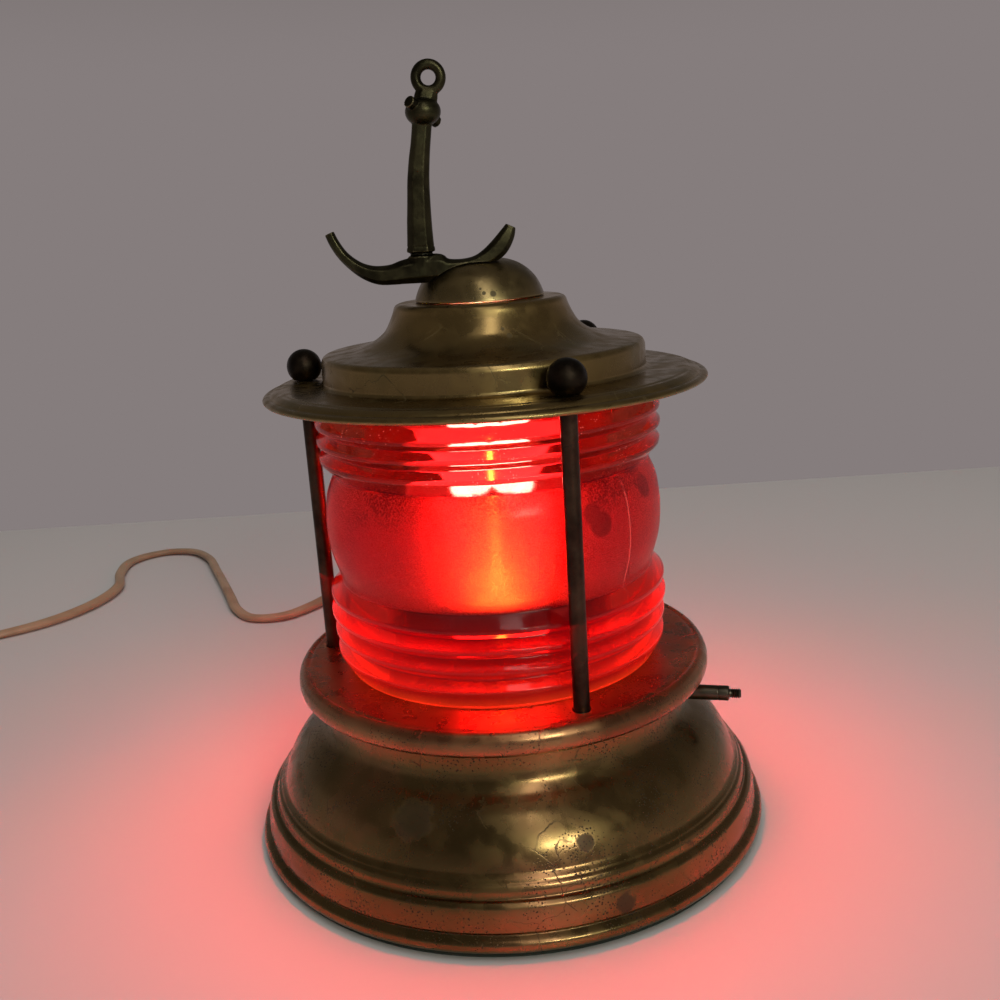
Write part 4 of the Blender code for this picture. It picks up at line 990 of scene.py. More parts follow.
@dataclass(frozen=True)
class RedGlass(Finish):
    """Pressed red glass, hazy on its barrel, with the bulb's glow through it painted into its
    emission.

    Places along its height are shares, 0 at the foot and 1 at the rim.
    """

    foot: float = 0.051  # in metres, as tall is
    tall: float = 0.0766
    collar_from: Pair = (0.70, 0.735)
    barrel_from: Pair = (0.30, 0.36)
    barrel_to: Pair = (0.72, 0.69)
    speckling_from: Pair = (0.56, 0.66)
    speckling_to: Pair = (0.735, 0.715)
    seam: float = -42.5  # direction in degrees of the line that the mould left
    # Painted glow by height, standing in for the bulb's light through the glass; its dips where the
    # barrel meets the ribs and the collar are painted shade.
    glows: tuple[tuple[float, Colour], ...] = (
        (0.0, (0.46, 0.028, 0.006)), (0.05, (0.20, 0.004, 0.003)),
        (0.26, (0.11, 0.000, 0.002)), (0.30, (0.035, 0.000, 0.001)),
        (0.36, (0.035, 0.000, 0.001)), (0.42, (0.075, 0.000, 0.003)),
        (0.58, (0.065, 0.000, 0.003)), (0.68, (0.030, 0.000, 0.001)),
        (0.74, (0.016, 0.000, 0.000)), (0.90, (0.026, 0.000, 0.000)),
        (1.0, (0.016, 0.000, 0.000)),
    )
    # Painted highlights: the bulb's light refracted by the rib lands and by the collar's ribs.
    lit_rib: Colour = (0.92, 0.045, 0.032)
    lit_collar: Colour = (0.38, 0.006, 0.010)
    # Painted shade: the dark emission of the grooves.
    groove: Colour = (0.035, 0.0, 0.001)
    # Painted glint on dust specks over the collar.
    glint: Colour = (1.0, 0.35, 0.28)
    # Painted highlight along the mould's seam.
    lit_seam: Colour = (0.70, 0.10, 0.08)
    # Colour that the dark speckles under the collar and the blots give the glow.
    speckling: Colour = (0.010, 0.0, 0.001)
    tints: tuple[Colour, Colour] = ((0.56, 0.030, 0.016), (0.48, 0.024, 0.014))
    collar_tint: Colour = (0.50, 0.060, 0.034)
    speckling_tint: Colour = (0.08, 0.001, 0.001)
    smooth: float = 0.07
    frost: float = 0.48
    blots: tuple[tuple[Corner, float], ...] = (
        ((38.6, -22.3, 100.6), 3.9), ((26.3, -37.7, 95.4), 3.9), ((24.2, -39.0, 98.6), 3.2),
    )

    def wire(self, wiring: Wiring, shader: Node, place: Any, relief: Any) -> None:
        """Tint the glass, frost its barrel, and paint in its glow: painted highlights on the rib
        lands, painted shade in the grooves.
        """
        x, y, z = wiring.split(place)
        height = wiring.math("DIVIDE", wiring.minus(z, self.foot), self.tall)
        collar = wiring.band(height, *self.collar_from)
        barrel = wiring.times(
            wiring.band(height, *self.barrel_from), wiring.band(height, *self.barrel_to),
        )
        haze = wiring.group(CLOUD, Vector=place, Scale=42.0, Low=0.32, High=0.72).outputs[0]
        turn = wiring.minus(wiring.math("ARCTAN2", y, x), math.radians(self.seam))
        ridge = wiring.times(wiring.band(wiring.math("ABSOLUTE", turn), 0.007, 0.002), barrel)
        dark = self.darken(wiring, place, height)
        glow = wiring.ramp(height, self.glows)
        dim = wiring.plus(0.65, wiring.times(haze, 0.35))
        glow = wiring.mix(1.0, glow, wiring.joined(dim, dim, dim), "MULTIPLY")
        # Painted highlight on the rib lands.
        land = wiring.times(wiring.band(relief, 0.84, 0.97), 0.9)
        glow = wiring.mix(land, glow, wiring.mix(collar, self.lit_rib, self.lit_collar))
        # Painted shade in the grooves.
        groove_shading = wiring.times(wiring.band(relief, 0.40, 0.22), 0.8)
        glow = wiring.mix(groove_shading, glow, self.groove)
        # Painted glints on dust specks of the collar.
        specks = wiring.group(PITS, Vector=place, Scale=1100.0, Share=0.20).outputs[0]
        glow = wiring.mix(wiring.times(wiring.times(specks, collar), 0.5), glow, self.glint)
        # Painted highlight along the seam.
        glow = wiring.mix(wiring.times(ridge, 0.5), glow, self.lit_seam)
        wiring.feed(shader.inputs["Emission Color"], wiring.mix(dark, glow, self.speckling))
        shader.inputs["Emission Strength"].default_value = 1.0
        colour = wiring.mix(haze, *self.tints)
        colour = wiring.mix(collar, colour, self.collar_tint)
        wiring.feed(shader.inputs["Base Color"], wiring.mix(dark, colour, self.speckling_tint))
        shader.inputs["Transmission Weight"].default_value = 0.92
        shader.inputs["IOR"].default_value = 1.34
        grain = wiring.band(wiring.noise(place, 6500.0, 1.0), 0.44, 0.56)
        frost = wiring.times(barrel, wiring.plus(self.smooth, wiring.times(grain, self.frost)))
        rough = wiring.plus(wiring.plus(self.smooth, frost), wiring.times(haze, 0.06))
        wiring.feed(shader.inputs["Roughness"], rough)
        uneven = wiring.times(wiring.noise(place, 160.0, 3.0), 0.5)
        wiring.feed(
            shader.inputs["Normal"], wiring.bump(wiring.plus(ridge, uneven), 0.35, 0.25 * MM),
        )

    def darken(self, wiring: Wiring, place: Any, height: Any) -> Socket:
        """Dark speckles in a band under the collar, and the blots.

        Args:
            wiring: of the material.
            place: on the surface.
            height: as a share of the globe's.

        Returns:
            A mask, 1 where the glass is darkest.
        """
        specks = wiring.group(PITS, Vector=place, Scale=1500.0, Share=0.62).outputs[0]
        rim = wiring.times(
            wiring.band(height, *self.speckling_from), wiring.band(height, *self.speckling_to),
        )
        speckling = wiring.times(wiring.times(specks, rim), 0.8)
        blot = wiring.times(STAIN.several(wiring, place, self.blots, 0.15), 0.85)
        return wiring.math("MAXIMUM", speckling, blot)


@dataclass(frozen=True)
class LitGlass(Finish):
    """Thin glass of the bulb, frosted inside and lit."""

    glow: Colour = (1.0, 0.06, 0.11)
    power: float = 4.0

    def wire(self, wiring: Wiring, shader: Node, place: Any, relief: Any) -> None:
        """Pale glass with a little dust and a red light of its own, most of it low down."""
        dust = wiring.noise(place, 300.0, 4.0)
        high = wiring.band(wiring.split(place)[2], 0.098, 0.107)
        glow = wiring.mix(high, self.glow, tuple(0.07 * c for c in self.glow))
        wiring.feed(shader.inputs["Base Color"], wiring.mix(dust, (1, 1, 1), (0.93, 0.92, 0.9)))
        wiring.feed(shader.inputs["Roughness"], wiring.plus(0.12, wiring.times(dust, 0.12)))
        wiring.feed(shader.inputs["Emission Color"], glow)
        shader.inputs["Emission Strength"].default_value = self.power
        shader.inputs["Transmission Weight"].default_value = 1.0
        shader.inputs["IOR"].default_value = 1.1


@dataclass(frozen=True)
class Hot(Finish):
    """Something that glows by itself."""

    colour: Colour = (1.0, 0.6, 0.25)
    power: float = 20.0

    def wire(self, wiring: Wiring, shader: Node, place: Any, relief: Any) -> None:
        """Glow, a little unevenly."""
        uneven = wiring.noise(place, 400.0, 2.0)
        dimmed = tuple(0.8 * c for c in self.colour)
        colour = wiring.mix(uneven, self.colour, dimmed)
        wiring.feed(shader.inputs["Emission Color"], colour)
        wiring.feed(shader.inputs["Base Color"], colour)
        shader.inputs["Emission Strength"].default_value = self.power


# Its bright colour, which the wear lays on the mouldings that stand out, is partly wear and partly
# a painted reflection of the pink-lit table.
SHELL_BRASS = AgedMetal(
    "shell_brass", "aged_brass", dark=(0.145, 0.095, 0.037), middle=(0.245, 0.155, 0.062),
    bright=(0.86, 0.44, 0.24), tint=(0.38, 0.16, 0.085), tint_share=0.45, patch=27.0,
    pit_share=0.34, wear=1.0,
    stains=(((17.0, -60.9, 22.7), 2.5), ((25.6, -65.8, 8.9), 3.0), ((-25.0, -54.4, 28.7), 6.0)),
)
# Its copper-red tone is partly the brass's own and partly the globe's red light painted in.
DECK_BRASS = AgedMetal(
    "deck_brass", "aged_brass", dark=(0.20, 0.095, 0.045), middle=(0.37, 0.19, 0.090),
    bright=(0.62, 0.36, 0.18), tint=(0.30, 0.13, 0.07), tint_share=0.5, pit_share=0.28,
    roughness=0.24, metal=0.98,
)
CANOPY_BRASS = AgedMetal(
    "canopy_brass", "aged_brass", dark=(0.26, 0.18, 0.072), middle=(0.33, 0.222, 0.086),
    bright=(0.46, 0.33, 0.15), tint=(0.15, 0.145, 0.07), tint_share=0.5, pit_share=0.18,
    roughness=0.24,
    stains=(((6.6, -25.4, 141.2), 0.9), ((8.2, -25.0, 140.6), 0.7), ((5.2, -24.6, 143.0), 0.6)),
)
DOME_BRASS = AgedMetal(
    "dome_brass", "dark_brass", dark=(0.12, 0.092, 0.042), middle=(0.30, 0.22, 0.10),
    bright=(0.44, 0.33, 0.16), tint=(0.17, 0.115, 0.055), pit_share=0.28, roughness=0.26,
    stains=(((1.1, -16.4, 151.3), 0.6), ((3.4, -16.2, 151.0), 0.9), ((0.2, -16.0, 152.4), 0.4)),
)
BALL_BRASS = AgedMetal(
    "ball_brass", "dark_brass", dark=(0.010, 0.008, 0.006), middle=(0.030, 0.021, 0.015),
    bright=(0.08, 0.055, 0.035), tint=(0.04, 0.02, 0.012), patch=120.0, pit_share=0.12,
    roughness=0.36, spun=False,
)
ANCHOR_BRONZE = AgedMetal(
    "anchor_bronze", "bronze", dark=(0.022, 0.019, 0.011), middle=(0.072, 0.062, 0.032),
    bright=(0.24, 0.20, 0.11), tint=(0.065, 0.066, 0.034), patch=90.0, pit_share=0.12,
    roughness=0.32, bump=0.5, spun=False,
)
ROD_STEEL = AgedMetal(
    "rod_steel", "dark_steel", dark=(0.030, 0.017, 0.012), middle=(0.080, 0.045, 0.030),
    bright=(0.14, 0.09, 0.06), tint=(0.08, 0.03, 0.02), patch=110.0, pit_share=0.2,
    roughness=0.36, spun=False, metal=0.95,
)
SHAFT_STEEL = PlainMetal("turned_steel", "shaft_steel", (0.12, 0.10, 0.075), (0.07, 0.058, 0.042))
ZINC = PlainMetal("zinc_steel", "steel", (0.62, 0.60, 0.57), (0.46, 0.44, 0.42), 0.45, 0.4)
SOCKET_BRASS = PlainMetal("stamped_brass", "socket_brass", (0.60, 0.44, 0.19), (0.42, 0.29, 0.12))
FIBRE = Moulded("fibre_board", "fibre", (0.35, 0.27, 0.18), (0.22, 0.16, 0.10), 0.9, 700.0, 0.15)
# Its near-black colour is painted shade: it stands in for the dark shadow line under the foot.
FELT = Moulded("felt_shadow_dark", "felt", (0.026, 0.036, 0.027), (0.014, 0.020, 0.015), 1.0, 2600.0, 0.3)
RUBBER = Moulded(
    "black_rubber_moulded", "black_rubber", (0.03, 0.028, 0.026), (0.015, 0.014, 0.013), 0.6,
)
BLACK = Moulded("black_moulding", "black_plastic", (0.04, 0.035, 0.03), (0.02, 0.018, 0.016), 0.4)
CORD_SKIN = Moulded("cord_cover", "tan_plastic", (0.40, 0.27, 0.17), (0.27, 0.17, 0.10), 0.42)
GLOBE_GLASS = RedGlass("globe_glass", "red_glass")
BULB_GLASS = LitGlass("frosted_bulb_glass", "bulb_glass")
FILAMENT = Hot("hot_filament", "bulb_glass", (0.85, 0.78, 1.0), 230.0)
# The stem's glow is painted light: the glass stem glows to stand in for the filament's bright
# streak.
STEM_GLOW = Hot("lit_stem", "bulb_glass", (1.0, 0.84, 0.16), 270.0)


@dataclass
class Assembly:
    """A group of pieces that belong together."""

    made: list[Thing] = field(default_factory=list)

    def dress(self, thing: Thing, finish: Finish, body: Body, *nodes: str) -> Thing:
        """Give a piece its finish, its body and the nodes that it stands for.

        Args:
            thing: the piece.
            finish: its material.
            body: what it moves with.
            nodes: CAD nodes that it replaces.

        Returns:
            The same piece.
        """
        thing.data.materials.clear()
        thing.data.materials.append(finish.build())
        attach(thing, body.value)
        if nodes:
            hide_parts(*nodes)
        self.made.append(thing)
        LOG.info("%s rides on %s", thing.name, body.value)
        return thing

    def keep(self, node: str, finish: Finish) -> None:
        """Keep a CAD node as it is, in a better finish.

        Args:
            node: name of the node.
            finish: its material.
        """
        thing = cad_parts[node]
        material = finish.build()
        if not thing.material_slots:
            thing.data.materials.append(material)
        for place in thing.material_slots:
            place.material = material
        LOG.info("%s kept in %s", node, finish.name)


@dataclass
class Studio:
    """Camera, table, world and lamps, in metres."""

    image_width: float = 1000.0  # in pixels, as the focal length is
    focal_pixels: float = 1077.605
    sensor: float = 36.0  # in millimetres
    eye: Corner = (0.0, -0.290608, 0.169243)
    pitch: float = 0.2555766  # in radians, as yaw and roll are
    yaw: float = 0.0068795
    roll: float = -0.0629290
    wall: Colour = (0.235, 0.205, 0.205)
    ceiling: Colour = (0.098, 0.088, 0.078)
    table: Colour = (0.60, 0.565, 0.555)
    table_corners: Sequence[Pair] = ((-1.6, -1.6), (1.6, -1.6), (-1.6, 0.36), (1.6, 0.36))
    middle: Corner = (0.0, 0.0, 0.09)  # what the soft lamps look at
    glow: Colour = (1.0, 0.035, 0.03)
    glow_power: float = 0.46  # of all the glow lamps together
    glow_count: int = 12
    glow_reach: float = 50.5 * MM  # from the lamp's axis
    glow_height: float = 74.0 * MM
    glow_tall: float = 8.0 * MM
    glow_lean: float = 60.0  # in degrees, downwards

    def aim_camera(self) -> None:
        """Stand the camera where the photograph was taken from."""
        data = bpy.data.cameras.new("photograph_view")
        data.sensor_width = self.sensor
        data.lens = self.focal_pixels / self.image_width * self.sensor
        data.clip_start = 0.01
        camera = bpy.data.objects.new("photograph_view", data)
        bpy.context.collection.objects.link(camera)
        level = math.cos(self.pitch)
        ahead = Vector((
            math.sin(self.yaw) * level, math.cos(self.yaw) * level, -math.sin(self.pitch),
        ))
        right = Vector((math.cos(self.yaw), -math.sin(self.yaw), 0.0))
        upward = right.cross(ahead)
        turned_right = math.cos(self.roll) * right + math.sin(self.roll) * upward
        turned_up = math.cos(self.roll) * upward - math.sin(self.roll) * right
        axes = Matrix((turned_right, turned_up, -ahead)).transposed()
        camera.matrix_world = Matrix.Translation(self.eye) @ axes.to_4x4()
        bpy.context.scene.camera = camera

    def light_world(self) -> None:
        """A plain room, paler at eye level than overhead."""
        world = bpy.data.worlds.new("plain_room")
        world.use_nodes = True
        wiring = Wiring(world.node_tree)
        background = world.node_tree.nodes["Background"]
        way = wiring.add("ShaderNodeTexCoord").outputs["Generated"]
        overhead = wiring.band(wiring.split(way)[2], 0.12, 0.42)
        wiring.feed(background.inputs["Color"], wiring.mix(overhead, self.wall, self.ceiling))
        background.inputs["Strength"].default_value = 1.0
        bpy.context.scene.world = world
        bpy.context.scene.view_settings.view_transform = "Standard"

    def lay_table(self) -> None:
        """A plain pale table top, with its far edge where the photograph shows one."""
        Bench.clear()
        bpy.ops.mesh.primitive_plane_add(size=2.0, location=(0.0, 0.0, 0.0))
        table = Bench.named("table_top")
        for vertex, corner in zip(table.data.vertices, self.table_corners):
            vertex.co = (*corner, 0.0)
        material = bpy.data.materials.new("pale_table")
        material.use_nodes = True
        wiring = Wiring(material.node_tree)
        shader = material.node_tree.nodes["Principled BSDF"]
        place = wiring.add("ShaderNodeTexCoord").outputs["Object"]
        cloud = wiring.noise(place, 5.0, 3.0)
        shade = tuple(0.95 * c for c in self.table)
        wiring.feed(shader.inputs["Base Color"], wiring.mix(cloud, self.table, shade))
        shader.inputs["Roughness"].default_value = 0.42
        table.data.materials.append(material)

    @staticmethod
    def hang(name: str, place: Vector, back: Vector, size: Pair, power: float,
             colour: Colour) -> Thing:
        """Hang a flat lamp.

        Args:
            name: of the lamp.
            place: where it hangs.
            back: the direction that it shines away from.
            size: width and height.
            power: in watts.
            colour: of the light.

        Returns:
            The lamp.
        """
        data = bpy.data.lights.new(name, "AREA")
        data.shape = "RECTANGLE"
        data.size, data.size_y = size
        data.energy = power
        data.color = colour
        lamp = bpy.data.objects.new(name, data)
        bpy.context.collection.objects.link(lamp)
        turn = back.to_track_quat("Z", "Y").to_matrix().to_4x4()
        lamp.matrix_world = Matrix.Translation(place) @ turn
        return lamp

    def add_lamp(self, name: str, azimuth: float, elevation: float, distance: float,
                 size: Pair, power: float, colour: Colour) -> Thing:
        """Hang a soft lamp that looks at the middle of the object.

        Args:
            name: of the lamp.
            azimuth: degrees from the front, positive to the right.
            elevation: degrees over the table.
            distance: from the middle of the object.
            size: width and height.
            power: in watts.
            colour: of the light.

        Returns:
            The lamp.
        """
        side, rise = math.radians(azimuth), math.radians(elevation)
        level = math.cos(rise)
        way = Vector((math.sin(side) * level, -math.cos(side) * level, math.sin(rise)))
        return self.hang(name, Vector(self.middle) + way * distance, way, size, power, colour)

    def glow_round_globe(self) -> None:
        """Lamps close round the globe that stand for the light its glass throws on the table."""
        lean = math.radians(self.glow_lean)
        width = 2 * self.glow_reach * math.tan(math.pi / self.glow_count) * 0.94
        for number in range(self.glow_count):
            turn = math.tau * (number + 0.5) / self.glow_count + math.radians(Rods.first)
            outward = Vector((math.cos(turn), math.sin(turn), 0.0))
            lamp = self.hang(
                f"globe_light_{number + 1}",
                outward * self.glow_reach + Vector((0.0, 0.0, self.glow_height)),
                Vector((0.0, 0.0, math.sin(lean))) - outward * math.cos(lean),
                (width, self.glow_tall), self.glow_power / self.glow_count, self.glow,
            )
            lamp.visible_camera = False
            lamp.visible_glossy = False
            lamp.visible_transmission = False

    def build(self) -> None:
        """Set all of it up."""
        self.aim_camera()
        self.light_world()
        self.lay_table()
        self.add_lamp("ceiling_lamp", 14.0, 52.0, 1.1, (0.20, 0.80), 1.3, (1.0, 0.96, 0.90))
        self.add_lamp("front_window", 22.0, 24.0, 1.2, (0.36, 0.16), 2.9, (0.93, 1.0, 0.82))
        fill = self.add_lamp("overhead_fill", 0.0, 90.0, 1.2, (1.2, 1.2), 6.6, (1.0, 1.0, 1.0))
        fill.visible_glossy = False
        self.glow_round_globe()


@dataclass
class Base(Assembly):
    """Bell base with its neck, felt and board, and the deck plate on it."""

    foot: Sequence[Corner] = (
        (66.5, 1.3, 0), (71.2, 1.3, 0.6), (72.4, 1.9, 0.5), (72.9, 3.1, 0.8), (72.5, 4.6, 0.6),
        (71.3, 5.3, 0.4), (70.55, 5.7, 0.3), (70.9, 6.3, 0.3), (70.75, 8.5, 0.5),
        (70.3, 10.9, 0.6), (69.9, 12.5, 0.5), (69.0, 13.25, 0.3), (68.1, 13.45, 0.3),
        (67.85, 14.3, 0.3), (67.75, 15.2, 0.4), (67.2, 16.3, 0.5), (66.5, 16.75, 0.25),
        (66.2, 17.3, 0.3), (65.2, 18.2, 0.6),
    )
    bell: Sequence[Pair] = (
        (65.2, 18.2), (64.3, 20.5), (62.8, 23.5), (60.7, 26.6), (58.2, 29.1), (55.5, 31.0),
        (53.2, 32.6), (51.6, 34.4), (50.7, 36.6), (50.4, 39.0), (50.4, 41.5),
    )
    inside: Sequence[Pair] = (
        (45.0, 42.7), (49.3, 42.6), (49.3, 38.9), (49.6, 36.3), (50.5, 33.9), (52.3, 31.8),
        (54.7, 30.1), (57.2, 28.2), (59.6, 25.8), (61.6, 22.9), (63.0, 20.1), (63.9, 17.8),
        (66.0, 15.9), (66.4, 13.0), (68.6, 11.8), (69.4, 7.0), (69.4, 5.6), (71.4, 4.6),
        (71.6, 3.2), (70.8, 2.4), (66.5, 2.4), (66.5, 1.3),
    )
    neck: Sequence[Corner] = (
        (50.4, 41.5, 0), (50.3, 43.2, 0.4), (49.8, 43.9, 0.4), (45.0, 43.9, 0.2),
        (45.0, 42.7, 0),
    )
    deck: Sequence[Corner] = (
        (46.8, 43.95, 0), (53.4, 43.95, 0.5), (56.3, 44.2, 0.8), (57.7, 45.0, 0.8),
        (58.2, 46.6, 0.9), (58.0, 48.8, 0.9), (57.0, 50.4, 0.8), (55.9, 50.95, 0.4),
        (55.1, 50.45, 0.2), (54.3, 50.75, 0.3), (50.5, 50.75, 0.4), (33.0, 50.8, 0.3),
        (33.0, 49.6, 0.3), (54.6, 49.65, 0.6), (56.3, 48.9, 0.5), (57.0, 47.1, 0.5),
        (56.6, 45.9, 0.5), (55.4, 45.3, 0.5), (46.8, 45.15, 0), (46.8, 43.95, 0),
    )
    felt: Sequence[Corner] = (
        (0, 0.0, 0), (71.0, 0.0, 0.3), (71.5, 0.5, 0.3), (71.2, 1.0, 0.3), (0, 1.0, 0),
    )

    def build(self) -> None:
        """Make the bell, the deck and what closes the base."""
        line = Outline.rounded(self.foot, 4) + Outline.curved(self.bell, 4)[1:]
        line += Outline.rounded(self.neck, 3)[1:] + list(self.inside[1:])
        shell = Bench.turned("bell_shell", line, 160)
        for pin, azimuth, height in (
            (Bench.pin(2.45, 44.0, 60.0, 28), SHAFT_AZIMUTH, SHAFT_HEIGHT),
            (Bench.pin(3.6, 60.0, 76.0, 28), CORD_AZIMUTH, CORD_HEIGHT),
        ):
            Bench.cut(shell, Bench.lay(pin, azimuth, height))
        Bench.finish_mesh(shell)
        self.dress(shell, SHELL_BRASS, Body.LAMP, "base_shell")
        deck = Bench.turned("deck_pan", Outline.rounded(self.deck, 4), 160)
        Rods.drill(deck, Bench.pin(2.45, 47.0, 53.0, 28))
        Bench.finish_mesh(deck)
        self.dress(deck, DECK_BRASS, Body.LAMP, "deck_plate")
        felt = Bench.turned("felt_disc", Outline.rounded(self.felt, 3), 128)
        self.dress(Bench.finish_mesh(felt), FELT, Body.LAMP, "felt_pad")
        self.keep("base_board", FIBRE)


@dataclass
class Rods(Assembly):
    """Three tie rods with their ball nuts above and hexagon nuts below."""

    circle: float = 49.93  # radius of the circle that the rods stand on
    first: float = -68.1  # direction of the first rod in degrees
    thread: Corner = (2.05, 0.22, 0.79)  # radius over the crests, depth and pitch
    ball_radius: float = 4.75
    ball_height: float = 133.05
    ball_steps: int = 24

    @staticmethod
    def spots() -> list[tuple[float, Matrix]]:
        """Direction of each rod in radians, and the move from the lamp's axis to the rod.

        Returns:
            One direction and one move for each rod.
        """
        spots: list[tuple[float, Matrix]] = []
        for number in range(3):
            way = math.radians(Rods.first + 120.0 * number)
            spot = (Rods.circle * MM * math.cos(way), Rods.circle * MM * math.sin(way), 0.0)
            spots.append((way, Matrix.Translation(spot)))
        return spots

    @staticmethod
    def drill(sheet: Thing, pin: Thing) -> None:
        """Drill the holes that the rods go through.

        Args:
            sheet: what is drilled.
            pin: on the lamp's axis, what each hole is cut with; it is used up.
        """
        for _, move in Rods.spots():
            Bench.cut(sheet, Bench.place(Bench.copied(pin, "hole_cutter_copy"), move))
        bpy.data.objects.remove(pin, do_unlink=True)

    def rod(self) -> Thing:
        """Turn one rod on the lamp's axis, threaded at both ends.

        Returns:
            The rod.
        """
        radius, depth, pitch = self.thread
        line = [(0.0, 45.9), *Outline.threaded(radius, depth, 45.9, 50.6, pitch)]
        line += Outline.rounded((
            (2.05, 50.7, 0), (2.085, 50.9, 0.05), (2.085, 128.4, 0.05), (2.05, 128.6, 0),
        ), 2)
        line += Outline.threaded(radius, depth, 128.7, 134.4, pitch) + [(0.0, 134.6)]
        return Bench.finish_mesh(Bench.turned("tie_rod", line, 32))

    def ball(self) -> Thing:
        """Turn one ball nut on the lamp's axis, with a small foot and a blind hole.

        Returns:
            The ball nut.
        """
        line: list[Pair] = [(2.3, 129.6), (2.9, 129.5), (3.1, 129.5), (3.3, 129.62)]
        for step in range(3, self.ball_steps):
            lean = math.radians(-48.0 + 138.0 * step / self.ball_steps)
            line.append((
                self.ball_radius * math.cos(lean),
                self.ball_height + self.ball_radius * math.sin(lean),
            ))
        line += [(0.0, 137.8), (0.0, 135.0), (2.3, 134.8), (2.3, 129.6)]
        return Bench.finish_mesh(Bench.turned("ball_nut", line, 48))

    def build(self) -> None:
        """Make one of each and copy it round."""
        rod, ball = self.rod(), self.ball()
        for number, (way, move) in enumerate(self.spots(), start=1):
            turned = move @ Matrix.Rotation(way, 4, "Z")
            for pattern, finish, body, node in (
                (rod, ROD_STEEL, Body.LAMP, f"tie_rod_{number}"),
                (ball, BALL_BRASS, Body(f"nut_{number}"), f"ball_nut_{number}"),
            ):
                twin = Bench.copied(pattern, f"{pattern.name}_{number}_dressed")
                self.dress(Bench.place(twin, turned), finish, body, node)
            self.keep(f"rod_nut_{number}", ZINC)
        for pattern in (rod, ball):
            bpy.data.objects.remove(pattern, do_unlink=True)


@dataclass
class Globe(Assembly):
    """Ribbed globe of pressed glass: ribs at its foot, a bulging barrel and a ribbed collar."""

    ribs: Sequence[Corner] = (
        (43.6, 51.1, 0), (46.15, 55.5, 0.35), (46.2, 56.6, 0.35), (43.6, 58.9, 0.5),
        (46.5, 61.1, 0.35), (46.5, 62.2, 0.35), (43.9, 64.4, 0.5), (47.0, 66.6, 0.35),
        (47.0, 67.7, 0.35), (44.0, 69.8, 0.5), (46.7, 71.8, 0.35), (46.7, 72.9, 0.35),
    )
    barrel: Sequence[Pair] = (
        (43.2, 75.8), (44.4, 80.0), (45.5, 84.0), (46.0, 88.0), (46.1, 92.0), (45.8, 96.0),
        (45.1, 100.0), (43.5, 104.0), (42.6, 105.6),
    )
    collar: Sequence[Corner] = (
        (42.6, 105.6, 0), (46.3, 109.3, 0.35), (46.3, 110.4, 0.35), (43.8, 112.2, 0.5),
        (46.6, 114.1, 0.35), (46.6, 115.2, 0.35), (43.9, 117.0, 0.5), (46.6, 118.7, 0.35),
        (46.6, 119.8, 0.35), (43.6, 122.5, 0.6), (43.5, 127.5, 0.3), (39.6, 127.6, 0.4),
        (39.5, 120.0, 0), (39.5, 90.0, 0), (39.5, 60.0, 0), (39.6, 51.2, 0.4), (43.6, 51.1, 0),
    )

    def build(self) -> None:
        """Turn the globe."""
        line = Outline.rounded((*self.ribs, (43.2, 75.8, 0.4), (44.4, 80.0, 0)), 4)[:-1]
        line += Outline.curved(self.barrel, 4)[2:] + Outline.rounded(self.collar, 4)[1:]
        globe = Bench.finish_mesh(Bench.turned("ribbed_globe", line, 160))
        self.dress(globe, GLOBE_GLASS, Body.LAMP, "globe")


@dataclass
class Canopy(Assembly):
    """Canopy of spun sheet, with its dome cap."""

    brim: Sequence[Corner] = (
        (58.2, 126.2, 0), (58.95, 126.2, 0.2), (59.4, 126.8, 0.35), (59.0, 127.45, 0.3),
        (58.2, 127.8, 0.25), (57.35, 127.75, 0.2), (56.9, 128.3, 0.3), (55.6, 129.0, 0.5),
        (54.6, 128.95, 0.3), (53.9, 129.2, 0.3), (44.2, 129.3, 0.6), (43.3, 130.0, 0.5),
        (43.2, 135.3, 0.5), (42.7, 136.3, 0.5),
    )
    cone: Sequence[Pair] = (
        (42.3, 136.6), (38.5, 137.1), (34.5, 137.6), (31.5, 138.4), (28.7, 139.6),
        (26.1, 141.6), (24.6, 143.9), (23.5, 146.2), (22.9, 147.9),
    )
    under: Sequence[Pair] = (
        (14.0, 148.9), (14.0, 147.8), (21.6, 147.7), (22.5, 145.5), (23.8, 142.9),
        (25.4, 140.8), (28.2, 138.7), (31.2, 137.3), (34.4, 136.5), (42.1, 135.4),
        (42.1, 128.2), (54.6, 128.0), (56.4, 127.2), (58.2, 126.2),
    )
    dome: Sequence[Pair] = (
        (17.2, 149.2), (16.9, 150.2), (16.1, 152.2), (14.9, 154.2), (13.0, 156.2),
        (10.4, 157.9), (7.2, 159.0), (3.6, 159.4), (0.0, 159.5),
    )
    dome_foot: Sequence[Pair] = ((16.3, 149.2), (17.0, 149.2))

    def build(self) -> None:
        """Make the canopy and the dome cap."""
        line = Outline.rounded(self.brim, 4) + Outline.curved(self.cone, 4)
        line += Outline.rounded((
            (22.9, 147.9, 0), (22.5, 148.5, 0.3), (21.6, 148.9, 0.3), (14.0, 148.9, 0),
        ), 3)[1:] + list(self.under[1:])
        canopy = Bench.turned("canopy_sheet", line, 160)
        Rods.drill(canopy, Bench.pin(2.4, 127.0, 131.0, 24))
        Bench.finish_mesh(canopy)
        self.dress(canopy, CANOPY_BRASS, Body.LAMP, "canopy")
        low = self.dome_foot[0][1]
        inner = [(radius * 0.945, low + (height - low) * 0.905) for radius, height in self.dome]
        line = [*self.dome_foot, *Outline.curved(self.dome, 4)[1:]]
        line += [*Outline.curved(inner, 2)[::-1], self.dome_foot[0]]
        dome = Bench.finish_mesh(Bench.turned("dome_shell", line, 96))
        self.dress(dome, DOME_BRASS, Body.LAMP, "dome_cap")
        self.keep("anchor_screw", ZINC)


